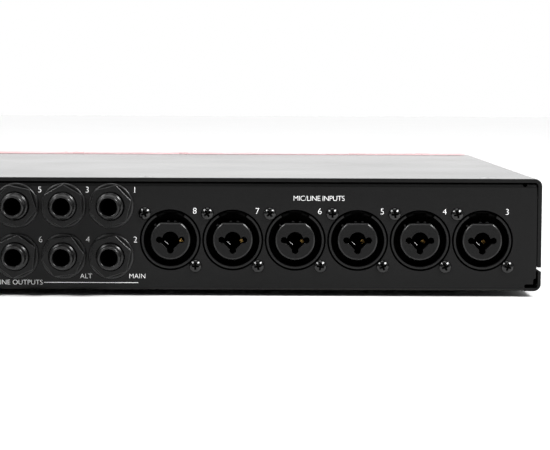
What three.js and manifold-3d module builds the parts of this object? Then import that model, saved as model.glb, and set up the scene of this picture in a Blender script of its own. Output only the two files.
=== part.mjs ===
// A one-rack-unit audio interface, free standing on four feet: a folded steel case, a red front panel,
// two microphone inputs in front and six behind, ten line outputs, digital sockets and a mains inlet.
// Millimetres, +Z up. The front panel faces -Y and the sockets at the back face +Y. The origin is the
// middle of the object's bounding box at the level that the feet stand on.

import * as THREE from 'three';
import { mergeVertices } from 'three/addons/utils/BufferGeometryUtils.js';
import Module from 'manifold-3d';

const wasm = await Module();
wasm.setup();

// ---------------------------------------------------------------- driving dimensions

const GAP = 0.3; // clearance between pieces that touch

// case
const CASE_WIDTH = 440;
const CASE_HEIGHT = 44; // underside of the tray to the top of the cover
const CASE_DEPTH = 250; // face of the front panel to the face of the rear wall
const FOOT_HEIGHT = 2.4;
const KNOB_REACH = 14; // how far the monitor knob stands out of the front panel
const JACK_REACH = 10; // how far the line jacks stand out of the rear wall
const COVER_SHEET = 1.5;
const TRAY_SHEET = 1.2;
const PANEL_THICKNESS = 3;

const REAR_Y = (CASE_DEPTH + KNOB_REACH - JACK_REACH) / 2;
const FRONT_Y = REAR_Y - CASE_DEPTH;
const PANEL_BACK_Y = FRONT_Y + PANEL_THICKNESS;
const SHELL_FRONT_Y = PANEL_BACK_Y + GAP;
const BASE_Z = FOOT_HEIGHT;
const TOP_Z = BASE_Z + CASE_HEIGHT;
const HALF_WIDTH = CASE_WIDTH / 2;

// inside
const BOARD_THICKNESS = 1.6;
const MAIN_BOARD_Z = BASE_Z + 4.6;
const FRONT_BOARD_Y = PANEL_BACK_Y + 11;
const SOCKET_SEAT_Y = REAR_Y - TRAY_SHEET - GAP; // where a rear socket's body stops behind the wall
const PANEL_SEAT_Y = PANEL_BACK_Y + GAP; // and a front socket's body behind the panel

// microphone inputs: centre height, and the row of six counted from the -X end of the rear wall
const MIC_Z = BASE_Z + 19.7;
const MIC_FIRST = 23.1;
const MIC_PITCH = 24.4;
const REAR_MIC_COUNT = 6;
const MIC_HOLE_RADIUS = 11.65;
const FRONT_MIC_X = [-188, -157];

// line outputs: two rows, five columns
const LINE_UPPER_Z = BASE_Z + 33;
const LINE_LOWER_Z = BASE_Z + 13.3;
const LINE_FIRST = 168.2;
const LINE_PITCH = 18.5;
const LINE_COLUMNS = 5;
const LINE_HOLE_RADIUS = 5.1;

// other rear sockets, distances from the -X end
const MIDI_AT = [271, 293];
const COAX_AT = 313;
const OPTICAL_AT = 331;
const WORD_CLOCK_AT = 350;
const USB_AT = 367;
const INLET_AT = 404;
const MIDDLE_Z = BASE_Z + 22;
const STACK_UPPER_Z = BASE_Z + 31;
const STACK_LOWER_Z = BASE_Z + 14;

// front controls
const CONTROL_Z = BASE_Z + 22.5;
const GAIN_FIRST_X = -112;
const GAIN_PITCH = 19;
const GAIN_COUNT = 8;
const PHANTOM_X = -133;
const METER_X = [39, 99];
const METER_Z = [BASE_Z + 11, BASE_Z + 35];
const MONITOR_X = 121;
const SWITCH_X = 144;
const PHONES_X = [160, 182];
const PHONES_KNOB_Z = BASE_Z + 30;
const PHONES_JACK_Z = BASE_Z + 13;
const POWER_X = 205;
const BUTTON_TRAVEL = 1;

// how many flats stand for a full circle, by the size of the round
const LARGE_ROUND = 24;
const MEDIUM_ROUND = 16;
const SMALL_ROUND = 12;
const TINY_ROUND = 8;

const fromRight = (distance) => -HALF_WIDTH + distance;

// ---------------------------------------------------------------- solids

function solid(geometry) {
  const bare = geometry.clone();
  bare.deleteAttribute('normal');
  bare.deleteAttribute('uv');
  const merged = mergeVertices(bare, 1e-4);
  const vertProperties = new Float32Array(merged.attributes.position.array);
  const triVerts = new Uint32Array(merged.index.array);
  return new wasm.Manifold(new wasm.Mesh({ numProp: 3, vertProperties, triVerts }));
}

function geometryOf(body) {
  const mesh = body.getMesh();
  const geometry = new THREE.BufferGeometry();
  geometry.setAttribute('position', new THREE.BufferAttribute(new Float32Array(mesh.vertProperties), 3));
  geometry.setIndex(new THREE.BufferAttribute(new Uint32Array(mesh.triVerts), 1));
  geometry.computeVertexNormals();
  return geometry;
}

const join = (bodies) => bodies.reduce((sum, body) => sum.add(body));
const cut = (body, tools) => tools.reduce((rest, tool) => rest.subtract(tool), body);

// a box between two corners
function block([x0, y0, z0], [x1, y1, z1]) {
  const geometry = new THREE.BoxGeometry(x1 - x0, y1 - y0, z1 - z0);
  return solid(geometry.translate((x0 + x1) / 2, (y0 + y1) / 2, (z0 + z1) / 2));
}

// a round bar along Y
function barY(radius, y0, y1, { x = 0, z = 0, sides = MEDIUM_ROUND, endRadius = radius } = {}) {
  const geometry = new THREE.CylinderGeometry(endRadius, radius, y1 - y0, sides);
  return solid(geometry.translate(x, (y0 + y1) / 2, z));
}

function barZ(radius, z0, z1, { x = 0, y = 0, sides = MEDIUM_ROUND, endRadius = radius } = {}) {
  const geometry = new THREE.CylinderGeometry(endRadius, radius, z1 - z0, sides).rotateX(Math.PI / 2);
  return solid(geometry.translate(x, y, (z0 + z1) / 2));
}

function barX(radius, x0, x1, { y = 0, z = 0, sides = TINY_ROUND } = {}) {
  const geometry = new THREE.CylinderGeometry(radius, radius, x1 - x0, sides).rotateZ(-Math.PI / 2);
  return solid(geometry.translate((x0 + x1) / 2, y, z));
}

// a solid turned about the Y axis, from [radius, y] points that start and end on it
function turned(profile, sides = MEDIUM_ROUND) {
  return solid(new THREE.LatheGeometry(profile.map(([r, y]) => new THREE.Vector2(r, y)), sides));
}

// an outline drawn in X and Z, swept along Y
function sweptY(outline, y0, y1, curveSegments = 4) {
  const depth = y1 - y0;
  const geometry = new THREE.ExtrudeGeometry(outline, { depth, bevelEnabled: false, curveSegments });
  return solid(geometry.rotateX(Math.PI / 2).translate(0, y1, 0));
}

// an outline drawn in Y and Z, swept along X
function sweptX(outline, x0, x1, curveSegments = 4) {
  const depth = x1 - x0;
  const geometry = new THREE.ExtrudeGeometry(outline, { depth, bevelEnabled: false, curveSegments });
  const yzx = new THREE.Matrix4().makeBasis(
    new THREE.Vector3(0, 1, 0), new THREE.Vector3(0, 0, 1), new THREE.Vector3(1, 0, 0));
  return solid(geometry.applyMatrix4(yzx).translate(x0, 0, 0));
}

// a rectangle with rounded corners
function roundedRectangle(x0, z0, x1, z1, radius) {
  const outline = new THREE.Shape();
  outline.moveTo(x0 + radius, z0);
  outline.lineTo(x1 - radius, z0);
  outline.absarc(x1 - radius, z0 + radius, radius, -Math.PI / 2, 0, false);
  outline.lineTo(x1, z1 - radius);
  outline.absarc(x1 - radius, z1 - radius, radius, 0, Math.PI / 2, false);
  outline.lineTo(x0 + radius, z1);
  outline.absarc(x0 + radius, z1 - radius, radius, Math.PI / 2, Math.PI, false);
  outline.lineTo(x0, z0 + radius);
  outline.absarc(x0 + radius, z0 + radius, radius, Math.PI, Math.PI * 1.5, false);
  return outline;
}

function polygon(points) {
  return new THREE.Shape(points.map(([a, b]) => new THREE.Vector2(a, b)));
}

// ---------------------------------------------------------------- materials

const finish = (color, roughness, metalness = 0) =>
  new THREE.MeshStandardMaterial({ color, roughness, metalness });

const blackPaint = () => finish(0x2f2f2e, 0.5);
const redAnodised = () => finish(0x9c1420, 0.35, 0.6);
const blackPlastic = () => finish(0x151515, 0.35);
const greyPlastic = () => finish(0x2a2b2d, 0.5);
const rubber = () => finish(0x111111, 0.9);
const greenBoard = () => finish(0x14462c, 0.5);
const brightMetal = () => finish(0xc8c8c6, 0.3, 1);
const smokedWindow = () => finish(0x060607, 0.08);

const interfaceGroup = new THREE.Group();

function place(name, body, material, { position = [0, 0, 0], turn = 0, parent = interfaceGroup } = {}) {
  const mesh = new THREE.Mesh(geometryOf(body), material);
  mesh.name = name;
  mesh.position.set(...position);
  mesh.rotation.z = turn;
  parent.add(mesh);
  return mesh;
}

// ---------------------------------------------------------------- case

const COVER_RADIUS = 2.9;
const COVER_SIDE_END_Z = BASE_Z + 9.3;
const COVER_SCREWS_X = [20.6, 155.2, 284.8, 419.4].map(fromRight);
const COVER_SCREW_SETBACK = 6; // from the rear wall's face to the row of screws
const COVER_SCREW_HOLE = 1.6;
const COVER_SCREW_SINK = 3.15;
const EAR_SCREWS_Y = [FRONT_Y + 18, FRONT_Y + 50];
const EAR_SCREWS_Z = [BASE_Z + 17, BASE_Z + 33];
const EAR_SCREW_HOLE = 2;

function countersunkHoleZ(x, y, zTop, depth) {
  const sink = COVER_SCREW_SINK - COVER_SCREW_HOLE;
  const over = 0.2; // the cone runs on past the surface, so that it cuts a clean edge
  const cone = barZ(COVER_SCREW_HOLE, zTop - sink, zTop + over,
    { x, y, sides: SMALL_ROUND, endRadius: COVER_SCREW_SINK + over });
  return join([barZ(COVER_SCREW_HOLE, zTop - depth, zTop, { x, y, sides: SMALL_ROUND }), cone]);
}

function topCover() {
  const inner = COVER_RADIUS - COVER_SHEET;
  const side = HALF_WIDTH;
  const outline = new THREE.Shape();
  outline.moveTo(side, COVER_SIDE_END_Z);
  outline.lineTo(side, TOP_Z - COVER_RADIUS);
  outline.absarc(side - COVER_RADIUS, TOP_Z - COVER_RADIUS, COVER_RADIUS, 0, Math.PI / 2, false);
  outline.absarc(-side + COVER_RADIUS, TOP_Z - COVER_RADIUS, COVER_RADIUS, Math.PI / 2, Math.PI, false);
  outline.lineTo(-side, COVER_SIDE_END_Z);
  outline.lineTo(-side + COVER_SHEET, COVER_SIDE_END_Z);
  outline.absarc(-side + COVER_RADIUS, TOP_Z - COVER_RADIUS, inner, Math.PI, Math.PI / 2, true);
  outline.absarc(side - COVER_RADIUS, TOP_Z - COVER_RADIUS, inner, Math.PI / 2, 0, true);
  outline.lineTo(side - COVER_SHEET, COVER_SIDE_END_Z);
  const screwRows = [REAR_Y - COVER_SCREW_SETBACK, SHELL_FRONT_Y + COVER_SCREW_SETBACK];
  const screwHoles = screwRows.flatMap((y) =>
    COVER_SCREWS_X.map((x) => countersunkHoleZ(x, y, TOP_Z, COVER_SHEET + 1)));
  const earHoles = [-1, 1].flatMap((end) => EAR_SCREWS_Y.flatMap((y) => EAR_SCREWS_Z.map((z) =>
    barX(EAR_SCREW_HOLE, end * side - 3, end * side + 3, { y, z, sides: SMALL_ROUND }))));
  return cut(sweptY(outline, SHELL_FRONT_Y, REAR_Y), [...screwHoles, ...earHoles]);
}

// The tray is one folded sheet: a floor, a rear wall with a flange under the cover, two side flanges that
// step inwards behind the cover's sides, and a low lip behind the front panel.
const TRAY_RADIUS = 2.9;
const WALL_BEND_RADIUS = 1.65;
const WALL_EDGE = 2; // from the case's side to the rear wall's own edge
const WALL_TOP_Z = TOP_Z - COVER_SHEET - GAP;
const STEP_START_Z = BASE_Z + 6.5;
const STEP_END_Z = BASE_Z + 8.7;
const SIDE_FLANGE_TOP_Z = BASE_Z + 38;
const REAR_FLANGE_DEPTH = 13;
const WALL_FOOT_DEPTH = 6; // how far the wall's section runs in under the case
const FRONT_LIP_TOP_Z = BASE_Z + 5.4;
const SLOT_WIDTH = 1.2; // the corner relief's level arm
const SLOT_REACH = 6.4; // its length, from the case's side
const SLOT_TOP = 4.8; // how high its upright arm goes
const SLOT_UPRIGHT = [1.6, 3.15]; // the upright arm's two sides, from the case's side
const NOTCH = { from: 5.9, to: 7.5, depth: 1.4 }; // the relief beside the wall's top flange

function traySection() {
  const bend = HALF_WIDTH - TRAY_RADIUS;
  const bendZ = BASE_Z + TRAY_RADIUS;
  const inner = TRAY_RADIUS - TRAY_SHEET;
  const outside = [HALF_WIDTH, HALF_WIDTH - COVER_SHEET - GAP];
  const inside = outside.map((x) => x - TRAY_SHEET);
  const outline = new THREE.Shape();
  outline.moveTo(-bend, BASE_Z);
  outline.lineTo(bend, BASE_Z);
  outline.absarc(bend, bendZ, TRAY_RADIUS, -Math.PI / 2, 0, false);
  outline.lineTo(outside[0], STEP_START_Z);
  outline.lineTo(outside[1], STEP_END_Z);
  outline.lineTo(outside[1], SIDE_FLANGE_TOP_Z);
  outline.lineTo(inside[1], SIDE_FLANGE_TOP_Z);
  outline.lineTo(inside[1], STEP_END_Z);
  outline.lineTo(inside[0], STEP_START_Z);
  outline.absarc(bend, bendZ, inner, 0, -Math.PI / 2, true);
  outline.absarc(-bend, bendZ, inner, -Math.PI / 2, -Math.PI, true);
  outline.lineTo(-inside[0], STEP_START_Z);
  outline.lineTo(-inside[1], STEP_END_Z);
  outline.lineTo(-inside[1], SIDE_FLANGE_TOP_Z);
  outline.lineTo(-outside[1], SIDE_FLANGE_TOP_Z);
  outline.lineTo(-outside[1], STEP_END_Z);
  outline.lineTo(-outside[0], STEP_START_Z);
  outline.absarc(-bend, bendZ, TRAY_RADIUS, Math.PI, Math.PI * 1.5, false);
  return outline;
}

// the rear wall in Y and Z, bent round at its foot and at its head
function wallSection() {
  const outline = new THREE.Shape();
  const bend = WALL_BEND_RADIUS;
  const inner = bend - TRAY_SHEET;
  outline.moveTo(REAR_Y - WALL_FOOT_DEPTH, BASE_Z);
  outline.lineTo(REAR_Y - bend, BASE_Z);
  outline.absarc(REAR_Y - bend, BASE_Z + bend, bend, -Math.PI / 2, 0, false);
  outline.lineTo(REAR_Y, WALL_TOP_Z - bend);
  outline.absarc(REAR_Y - bend, WALL_TOP_Z - bend, bend, 0, Math.PI / 2, false);
  outline.lineTo(REAR_Y - REAR_FLANGE_DEPTH, WALL_TOP_Z);
  outline.lineTo(REAR_Y - REAR_FLANGE_DEPTH, WALL_TOP_Z - TRAY_SHEET);
  outline.absarc(REAR_Y - bend, WALL_TOP_Z - bend, inner, Math.PI / 2, 0, true);
  outline.absarc(REAR_Y - bend, BASE_Z + bend, inner, 0, -Math.PI / 2, true);
  outline.lineTo(REAR_Y - WALL_FOOT_DEPTH, BASE_Z + TRAY_SHEET);
  return outline;
}

// the reliefs beside the rear wall's bends, at one end of it (end is -1 or 1)
function wallReliefs(end) {
  const x = (inset) => end * (HALF_WIDTH - inset);
  const slab = (inset0, inset1, y0, y1, z0, z1) =>
    block([Math.min(x(inset0), x(inset1)), y0, z0], [Math.max(x(inset0), x(inset1)), y1, z1]);
  const behind = REAR_Y - REAR_FLANGE_DEPTH - 1;
  const beyond = REAR_Y + 1;
  const slotBack = REAR_Y - 4;
  const slotZ = BASE_Z + TRAY_SHEET;
  const tabCorner = 0.7; // taken off the wall's upper corner, which stands inside the cover's bend
  return [
    slab(...SLOT_UPRIGHT, slotBack, beyond, slotZ, BASE_Z + SLOT_TOP),
    slab(SLOT_UPRIGHT[0], SLOT_REACH, slotBack, beyond, slotZ, slotZ + SLOT_WIDTH),
    slab(NOTCH.from, NOTCH.to, behind, beyond, WALL_TOP_Z - NOTCH.depth, TOP_Z),
    slab(WALL_EDGE - 1, NOTCH.from, behind, REAR_Y - TRAY_SHEET, WALL_TOP_Z - 6, TOP_Z),
    slab(WALL_EDGE - 1, WALL_EDGE + tabCorner, behind, beyond, WALL_TOP_Z - tabCorner, TOP_Z),
  ];
}

// count distances in a row, pitch apart
const spaced = (count, first, pitch) => Array.from({ length: count }, (_, i) => first + i * pitch);

const LINE_COLUMN_X = spaced(LINE_COLUMNS, LINE_FIRST, LINE_PITCH).map(fromRight);
const REAR_MIC_X = spaced(REAR_MIC_COUNT, MIC_FIRST, MIC_PITCH).map(fromRight);
const MIDI_X = MIDI_AT.map(fromRight);
const COAX_X = fromRight(COAX_AT);
const OPTICAL_X = fromRight(OPTICAL_AT);
const WORD_CLOCK_X = fromRight(WORD_CLOCK_AT);
const USB_X = fromRight(USB_AT);
const INLET_X = fromRight(INLET_AT);

const MIDI_HOLE_RADIUS = 7.9;
const COAX_HOLE_RADIUS = 4.9;
const WORD_CLOCK_HOLE_RADIUS = 6.6;
const OPTICAL_HOLE = { halfWidth: 6.1, halfHeight: 6 };
const USB_HOLE = { halfWidth: 5.3, halfHeight: 2.4 };
const INLET_HOLE = { halfWidth: 14.2, halfHeight: 10.7 };

function wallHoles() {
  const y0 = REAR_Y - 3;
  const y1 = REAR_Y + 1;
  const round = (radius, x, z, sides = MEDIUM_ROUND) => barY(radius, y0, y1, { x, z, sides });
  const square = (hole, x, z) =>
    block([x - hole.halfWidth, y0, z - hole.halfHeight], [x + hole.halfWidth, y1, z + hole.halfHeight]);
  return [
    ...REAR_MIC_X.map((x) => round(MIC_HOLE_RADIUS, x, MIC_Z, LARGE_ROUND)),
    ...LINE_COLUMN_X.flatMap((x) => [LINE_UPPER_Z, LINE_LOWER_Z].map((z) => round(LINE_HOLE_RADIUS, x, z))),
    ...MIDI_X.map((x) => round(MIDI_HOLE_RADIUS, x, MIDDLE_Z)),
    ...[STACK_UPPER_Z, STACK_LOWER_Z].map((z) => round(COAX_HOLE_RADIUS, COAX_X, z)),
    ...[STACK_UPPER_Z, STACK_LOWER_Z].map((z) => square(OPTICAL_HOLE, OPTICAL_X, z)),
    round(WORD_CLOCK_HOLE_RADIUS, WORD_CLOCK_X, MIDDLE_Z),
    square(USB_HOLE, USB_X, MIDDLE_Z),
    square(INLET_HOLE, INLET_X, MIDDLE_Z),
  ];
}

function baseTray() {
  const wallSide = HALF_WIDTH - WALL_EDGE;
  const wall = sweptX(wallSection(), -wallSide, wallSide);
  const bendSide = HALF_WIDTH - SLOT_REACH;
  const bendRoom = block([-bendSide, REAR_Y - WALL_BEND_RADIUS - 1, BASE_Z - 1],
    [bendSide, REAR_Y + 1, BASE_Z + TRAY_SHEET + 1]);
  const trough = sweptY(traySection(), SHELL_FRONT_Y, REAR_Y - 0.1).subtract(bendRoom);
  const lipSide = wallSide - 2;
  const lip = block([-lipSide, SHELL_FRONT_Y, BASE_Z + 0.2],
    [lipSide, SHELL_FRONT_Y + TRAY_SHEET, FRONT_LIP_TOP_Z]);
  return cut(join([trough, wall, lip]), [...wallReliefs(-1), ...wallReliefs(1), ...wallHoles()]);
}

const PANEL_RADIUS = 7;
const PANEL_TOP_Z = TOP_Z + 0.9;
const PANEL_BOTTOM_Z = BASE_Z - 0.6;
const SHAFT_HOLE_RADIUS = 3.6;
const MONITOR_SHAFT_HOLE_RADIUS = 4.6;
const PHONES_HOLE_RADIUS = 5.6;
const BUTTON_HOLE = { halfWidth: 3.9, halfHeight: 2.4 };
const POWER_HOLE = { halfWidth: 6.4, halfHeight: 10.4 };
const WINDOW_FIT = 0.4;

const GAIN_X = spaced(GAIN_COUNT, GAIN_FIRST_X, GAIN_PITCH);
const PHANTOM_BUTTONS = [[PHANTOM_X, CONTROL_Z + 7], [PHANTOM_X, CONTROL_Z - 7]];
const SWITCH_BUTTONS = [[SWITCH_X, CONTROL_Z + 7], [SWITCH_X, CONTROL_Z - 7]];

function frontPanel() {
  const y0 = FRONT_Y - 1;
  const y1 = PANEL_BACK_Y + 1;
  const round = (radius, x, z, sides = MEDIUM_ROUND) => barY(radius, y0, y1, { x, z, sides });
  const square = (hole, x, z) =>
    block([x - hole.halfWidth, y0, z - hole.halfHeight], [x + hole.halfWidth, y1, z + hole.halfHeight]);
  const outline = roundedRectangle(-HALF_WIDTH, PANEL_BOTTOM_Z, HALF_WIDTH, PANEL_TOP_Z, PANEL_RADIUS);
  const plate = sweptY(outline, FRONT_Y, PANEL_BACK_Y);
  return cut(plate, [
    ...FRONT_MIC_X.map((x) => round(MIC_HOLE_RADIUS, x, CONTROL_Z, LARGE_ROUND)),
    ...GAIN_X.map((x) => round(SHAFT_HOLE_RADIUS, x, CONTROL_Z)),
    round(MONITOR_SHAFT_HOLE_RADIUS, MONITOR_X, CONTROL_Z),
    ...PHONES_X.map((x) => round(SHAFT_HOLE_RADIUS, x, PHONES_KNOB_Z)),
    ...PHONES_X.map((x) => round(PHONES_HOLE_RADIUS, x, PHONES_JACK_Z)),
    ...[...PHANTOM_BUTTONS, ...SWITCH_BUTTONS].map(([x, z]) => square(BUTTON_HOLE, x, z)),
    square(POWER_HOLE, POWER_X, CONTROL_Z),
    block([METER_X[0], y0, METER_Z[0]], [METER_X[1], y1, METER_Z[1]]),
  ]);
}

function meterWindow() {
  const flange = 1.6;
  const pane = block([METER_X[0] + WINDOW_FIT, FRONT_Y + 0.2, METER_Z[0] + WINDOW_FIT],
    [METER_X[1] - WINDOW_FIT, PANEL_BACK_Y + 1, METER_Z[1] - WINDOW_FIT]);
  const rim = block([METER_X[0] - flange, PANEL_BACK_Y + GAP, METER_Z[0] - flange],
    [METER_X[1] + flange, PANEL_BACK_Y + 2, METER_Z[1] + flange]);
  return join([pane, rim]);
}

// a stick-on rubber foot, its foot end slightly wider than its head
function foot() {
  const radius = 9;
  return barZ(radius - 1, 0, FOOT_HEIGHT - GAP, { sides: LARGE_ROUND, endRadius: radius });
}

place('base_tray', baseTray(), blackPaint());
place('top_cover', topCover(), blackPaint());
place('front_panel', frontPanel(), redAnodised());
place('meter_window', meterWindow(), smokedWindow());

const FOOT_INSET_X = 30;
const FOOT_INSET_Y = 28;
const footRows = { front: SHELL_FRONT_Y + FOOT_INSET_Y, rear: REAR_Y - FOOT_INSET_Y };
const footSides = { left: -HALF_WIDTH + FOOT_INSET_X, right: HALF_WIDTH - FOOT_INSET_X };
for (const [row, y] of Object.entries(footRows)) {
  for (const [side, x] of Object.entries(footSides)) {
    place(`foot_${row}_${side}`, foot(), rubber(), { position: [x, y, 0] });
  }
}

// ---------------------------------------------------------------- boards inside

const BOARD_MARGIN = 6;
const POWER_BOARD_X = INLET_X - 30; // the power supply's board stands on the inlet's side of this line
const POWER_BOARD_Y = [-60, 88];

// a board with the parts that stand on it, each a box of [x0, y0, x1, y1, height]
function populatedBoard(low, high, parts) {
  const top = high[2];
  const boxes = parts.map(([x0, y0, x1, y1, height]) => block([x0, y0, top - 0.2], [x1, y1, top + height]));
  return join([block(low, high), ...boxes]);
}

const boardTop = MAIN_BOARD_Z + BOARD_THICKNESS;

place('main_board', populatedBoard(
  [-HALF_WIDTH + BOARD_MARGIN + 2, FRONT_BOARD_Y + 6, MAIN_BOARD_Z],
  [POWER_BOARD_X - 4, SOCKET_SEAT_Y - 1, boardTop],
  [[-150, -30, -128, -8, 2.2], [-60, -40, -36, -16, 2.6], [20, -20, 46, 6, 2.6], [90, 40, 108, 58, 2],
    [-190, 40, -182, 48, 10], [-165, 40, -157, 48, 10], [-10, 50, 4, 64, 9]]), greenBoard());

// where the headphone sockets pass the front board
const PHONES_NOTCH = { x0: PHONES_X[0] - 10, topZ: BASE_Z + 21.5 };

function frontBoard() {
  const y1 = FRONT_BOARD_Y + BOARD_THICKNESS;
  const board = block([-140, FRONT_BOARD_Y, BASE_Z + 5], [194, y1, BASE_Z + 38]);
  return cut(board, [block([PHONES_NOTCH.x0, FRONT_BOARD_Y - 1, BASE_Z], [200, y1 + 1, PHONES_NOTCH.topZ])]);
}

place('front_board', frontBoard(), greenBoard());

place('power_supply_board', populatedBoard(
  [POWER_BOARD_X, POWER_BOARD_Y[0], MAIN_BOARD_Z],
  [HALF_WIDTH - BOARD_MARGIN - 2, POWER_BOARD_Y[1], boardTop],
  [[165, 60, 190, 78, 20], [195, 10, 203, 60, 22], [162, -50, 172, -40, 16], [178, -50, 188, -40, 16]]),
greenBoard());

place('power_transformer', join([
  block([158, 0, boardTop + GAP], [188, 26, boardTop + 24]),
  barY(10, -3, 29, { x: 173, z: boardTop + 12 }),
]), greyPlastic());

// ---------------------------------------------------------------- microphone inputs

const MIC_RING_RADIUS = 10.9;
const MIC_GROOVE_OUTER = 10;
const MIC_CORE_RADIUS = 7.75;
const MIC_CORE_FLAT = 7; // height of the flat across the core's top
const MIC_GROOVE_DEPTH = 13;
const MIC_BORE_RADIUS = 3.35;
const MIC_BORE_DEPTH = 26;
const MIC_PINS = [[-4.3, 0], [4.3, 0], [0, -4.1]];
const MIC_PIN_RADIUS = 1.25;
const MIC_PIN_DEPTH = 10;
const MIC_BODY_HALF = 12;
const MIC_BODY_DEPTH = 28;

// A combined three-pin and jack socket, with its face at y = 0 looking along +Y. The body sits behind a
// sheet whose back is at y = -wall.
function micInput(wall) {
  const seat = -wall - GAP;
  const half = MIC_BODY_HALF;
  const body = block([-half, seat - MIC_BODY_DEPTH, -half], [half, seat, half]);
  const ring = barY(MIC_RING_RADIUS, seat - 1, 0, { sides: LARGE_ROUND });
  const groove = barY(MIC_GROOVE_OUTER, -MIC_GROOVE_DEPTH, 1, { sides: LARGE_ROUND });
  const topAngle = Math.asin(MIC_CORE_FLAT / MIC_CORE_RADIUS);
  const coreOutline = new THREE.Shape();
  coreOutline.absarc(0, 0, MIC_CORE_RADIUS, Math.PI - topAngle, topAngle, false);
  const core = sweptY(coreOutline, -MIC_GROOVE_DEPTH - 1, 0, SMALL_ROUND);
  const bores = [
    barY(MIC_BORE_RADIUS, -MIC_BORE_DEPTH, 1, { sides: SMALL_ROUND }),
    ...MIC_PINS.map(([x, z]) => barY(MIC_PIN_RADIUS, -MIC_PIN_DEPTH, 1, { x, z, sides: TINY_ROUND })),
  ];
  return cut(cut(join([body, ring]), [groove]).add(core), bores);
}

FRONT_MIC_X.forEach((x, i) => {
  place(`mic_input_${i + 1}`, micInput(PANEL_THICKNESS), blackPlastic(),
    { position: [x, FRONT_Y, CONTROL_Z], turn: Math.PI });
});
REAR_MIC_X.forEach((x, i) => {
  place(`mic_input_${i + 3}`, micInput(TRAY_SHEET), blackPlastic(), { position: [x, REAR_Y, MIC_Z] });
});

// ---------------------------------------------------------------- line outputs

const JACK_THREAD_RADIUS = 4.8;
const JACK_TIP_RADIUS = 4.15;
const JACK_THREAD_END = 8.2;
const JACK_BORE_RADIUS = 3.5;
const JACK_BORE_DEPTH = 22;
const JACK_BODY_HALF = 8;
const JACK_BODY_DEPTH = 26;
const WASHER_RADIUS = 8.75;
const WASHER_THICKNESS = 1;
const NUT_ACROSS_FLATS = 14.9;
const NUT_HEIGHT = 4.2;

// two jacks one above the other in one body; the wall's face is y = 0
function lineJackPair() {
  const seat = -TRAY_SHEET - GAP;
  const low = boardTop + GAP - MIDDLE_Z;
  const high = WALL_TOP_Z - TRAY_SHEET - 1 - MIDDLE_Z;
  const body = block([-JACK_BODY_HALF, seat - JACK_BODY_DEPTH, low], [JACK_BODY_HALF, seat, high]);
  const heights = [LINE_UPPER_Z, LINE_LOWER_Z].map((z) => z - MIDDLE_Z);
  const bushing = turned([[0, seat - 1], [JACK_THREAD_RADIUS, seat - 1],
    [JACK_THREAD_RADIUS, JACK_THREAD_END], [JACK_TIP_RADIUS, JACK_REACH], [0, JACK_REACH]]);
  const bore = barY(JACK_BORE_RADIUS, -JACK_BORE_DEPTH, JACK_REACH + 1, { sides: SMALL_ROUND });
  return cut(join([body, ...heights.map((z) => bushing.translate([0, 0, z]))]),
    heights.map((z) => bore.translate([0, 0, z])));
}

// a hexagon nut on its washer, round the bushing
function lineNut() {
  const washer = barY(WASHER_RADIUS, GAP, GAP + WASHER_THICKNESS, { sides: LARGE_ROUND });
  const cornerRadius = NUT_ACROSS_FLATS / 2 / Math.cos(Math.PI / 6);
  const hexagon = barY(cornerRadius, GAP + WASHER_THICKNESS / 2, NUT_HEIGHT, { sides: 6 });
  const thread = barY(JACK_THREAD_RADIUS + GAP, -1, NUT_HEIGHT + 1);
  return cut(join([washer, hexagon]), [thread]);
}

// how far each nut has stopped short of having a corner straight up, in degrees
const NUT_TURNS = [-15.5, -12.7, 0, -24, 18, -6, 11, -20, 27, 4];

LINE_COLUMN_X.forEach((x, column) => {
  const first = column * 2 + 1;
  place(`line_jack_pair_${first}_${first + 1}`, lineJackPair(), blackPlastic(),
    { position: [x, REAR_Y, MIDDLE_Z] });
  [LINE_UPPER_Z, LINE_LOWER_Z].forEach((z, row) => {
    const number = first + row;
    const nut = place(`line_nut_${number}`, lineNut(), blackPlastic(), { position: [x, REAR_Y, z] });
    nut.rotation.y = THREE.MathUtils.degToRad(NUT_TURNS[number - 1]);
  });
});

// ---------------------------------------------------------------- digital sockets and mains inlet

const MIDI_PIN_CIRCLE = 4.4;
const MIDI_PIN_RADIUS = 0.9;

function midiSocketPair() {
  const seat = SOCKET_SEAT_Y;
  const middle = (MIDI_X[0] + MIDI_X[1]) / 2;
  const face = REAR_Y - 0.2;
  const body = block([middle - 21, seat - 16, boardTop + GAP], [middle + 21, seat, MIDDLE_Z + 10]);
  const faces = MIDI_X.map((x) => barY(MIDI_HOLE_RADIUS - 0.4, seat - 1, face, { x, z: MIDDLE_Z }));
  const pinHoles = MIDI_X.flatMap((x) => [0, 45, 90, 135, 180].map((degrees) => {
    const angle = THREE.MathUtils.degToRad(degrees);
    const [dx, dz] = [MIDI_PIN_CIRCLE * Math.cos(angle), -MIDI_PIN_CIRCLE * Math.sin(angle)];
    return barY(MIDI_PIN_RADIUS, face - 9, face + 1, { x: x + dx, z: MIDDLE_Z + dz, sides: TINY_ROUND });
  }));
  const keys = MIDI_X.map((x) =>
    block([x - 1.3, face - 7, MIDDLE_Z + 5.2], [x + 1.3, face + 1, MIDDLE_Z + 8.2]));
  return cut(join([body, ...faces]), [...pinHoles, ...keys]);
}

const COAX_BARREL = { radius: 4.15, reach: 8.5, boreRadius: 1.7, boreDepth: 6 };

function coaxPair() {
  const seat = SOCKET_SEAT_Y;
  const heights = [STACK_UPPER_Z, STACK_LOWER_Z];
  const { radius, reach, boreRadius, boreDepth } = COAX_BARREL;
  const body = block([COAX_X - 6.5, seat - 12, boardTop + GAP], [COAX_X + 6.5, seat, STACK_UPPER_Z + 6]);
  const barrels = heights.map((z) => barY(radius, seat - 1, REAR_Y + reach, { x: COAX_X, z }));
  const bores = heights.map((z) =>
    barY(boreRadius, REAR_Y - boreDepth, REAR_Y + reach + 1, { x: COAX_X, z, sides: TINY_ROUND }));
  return cut(join([body, ...barrels]), bores);
}

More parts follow.
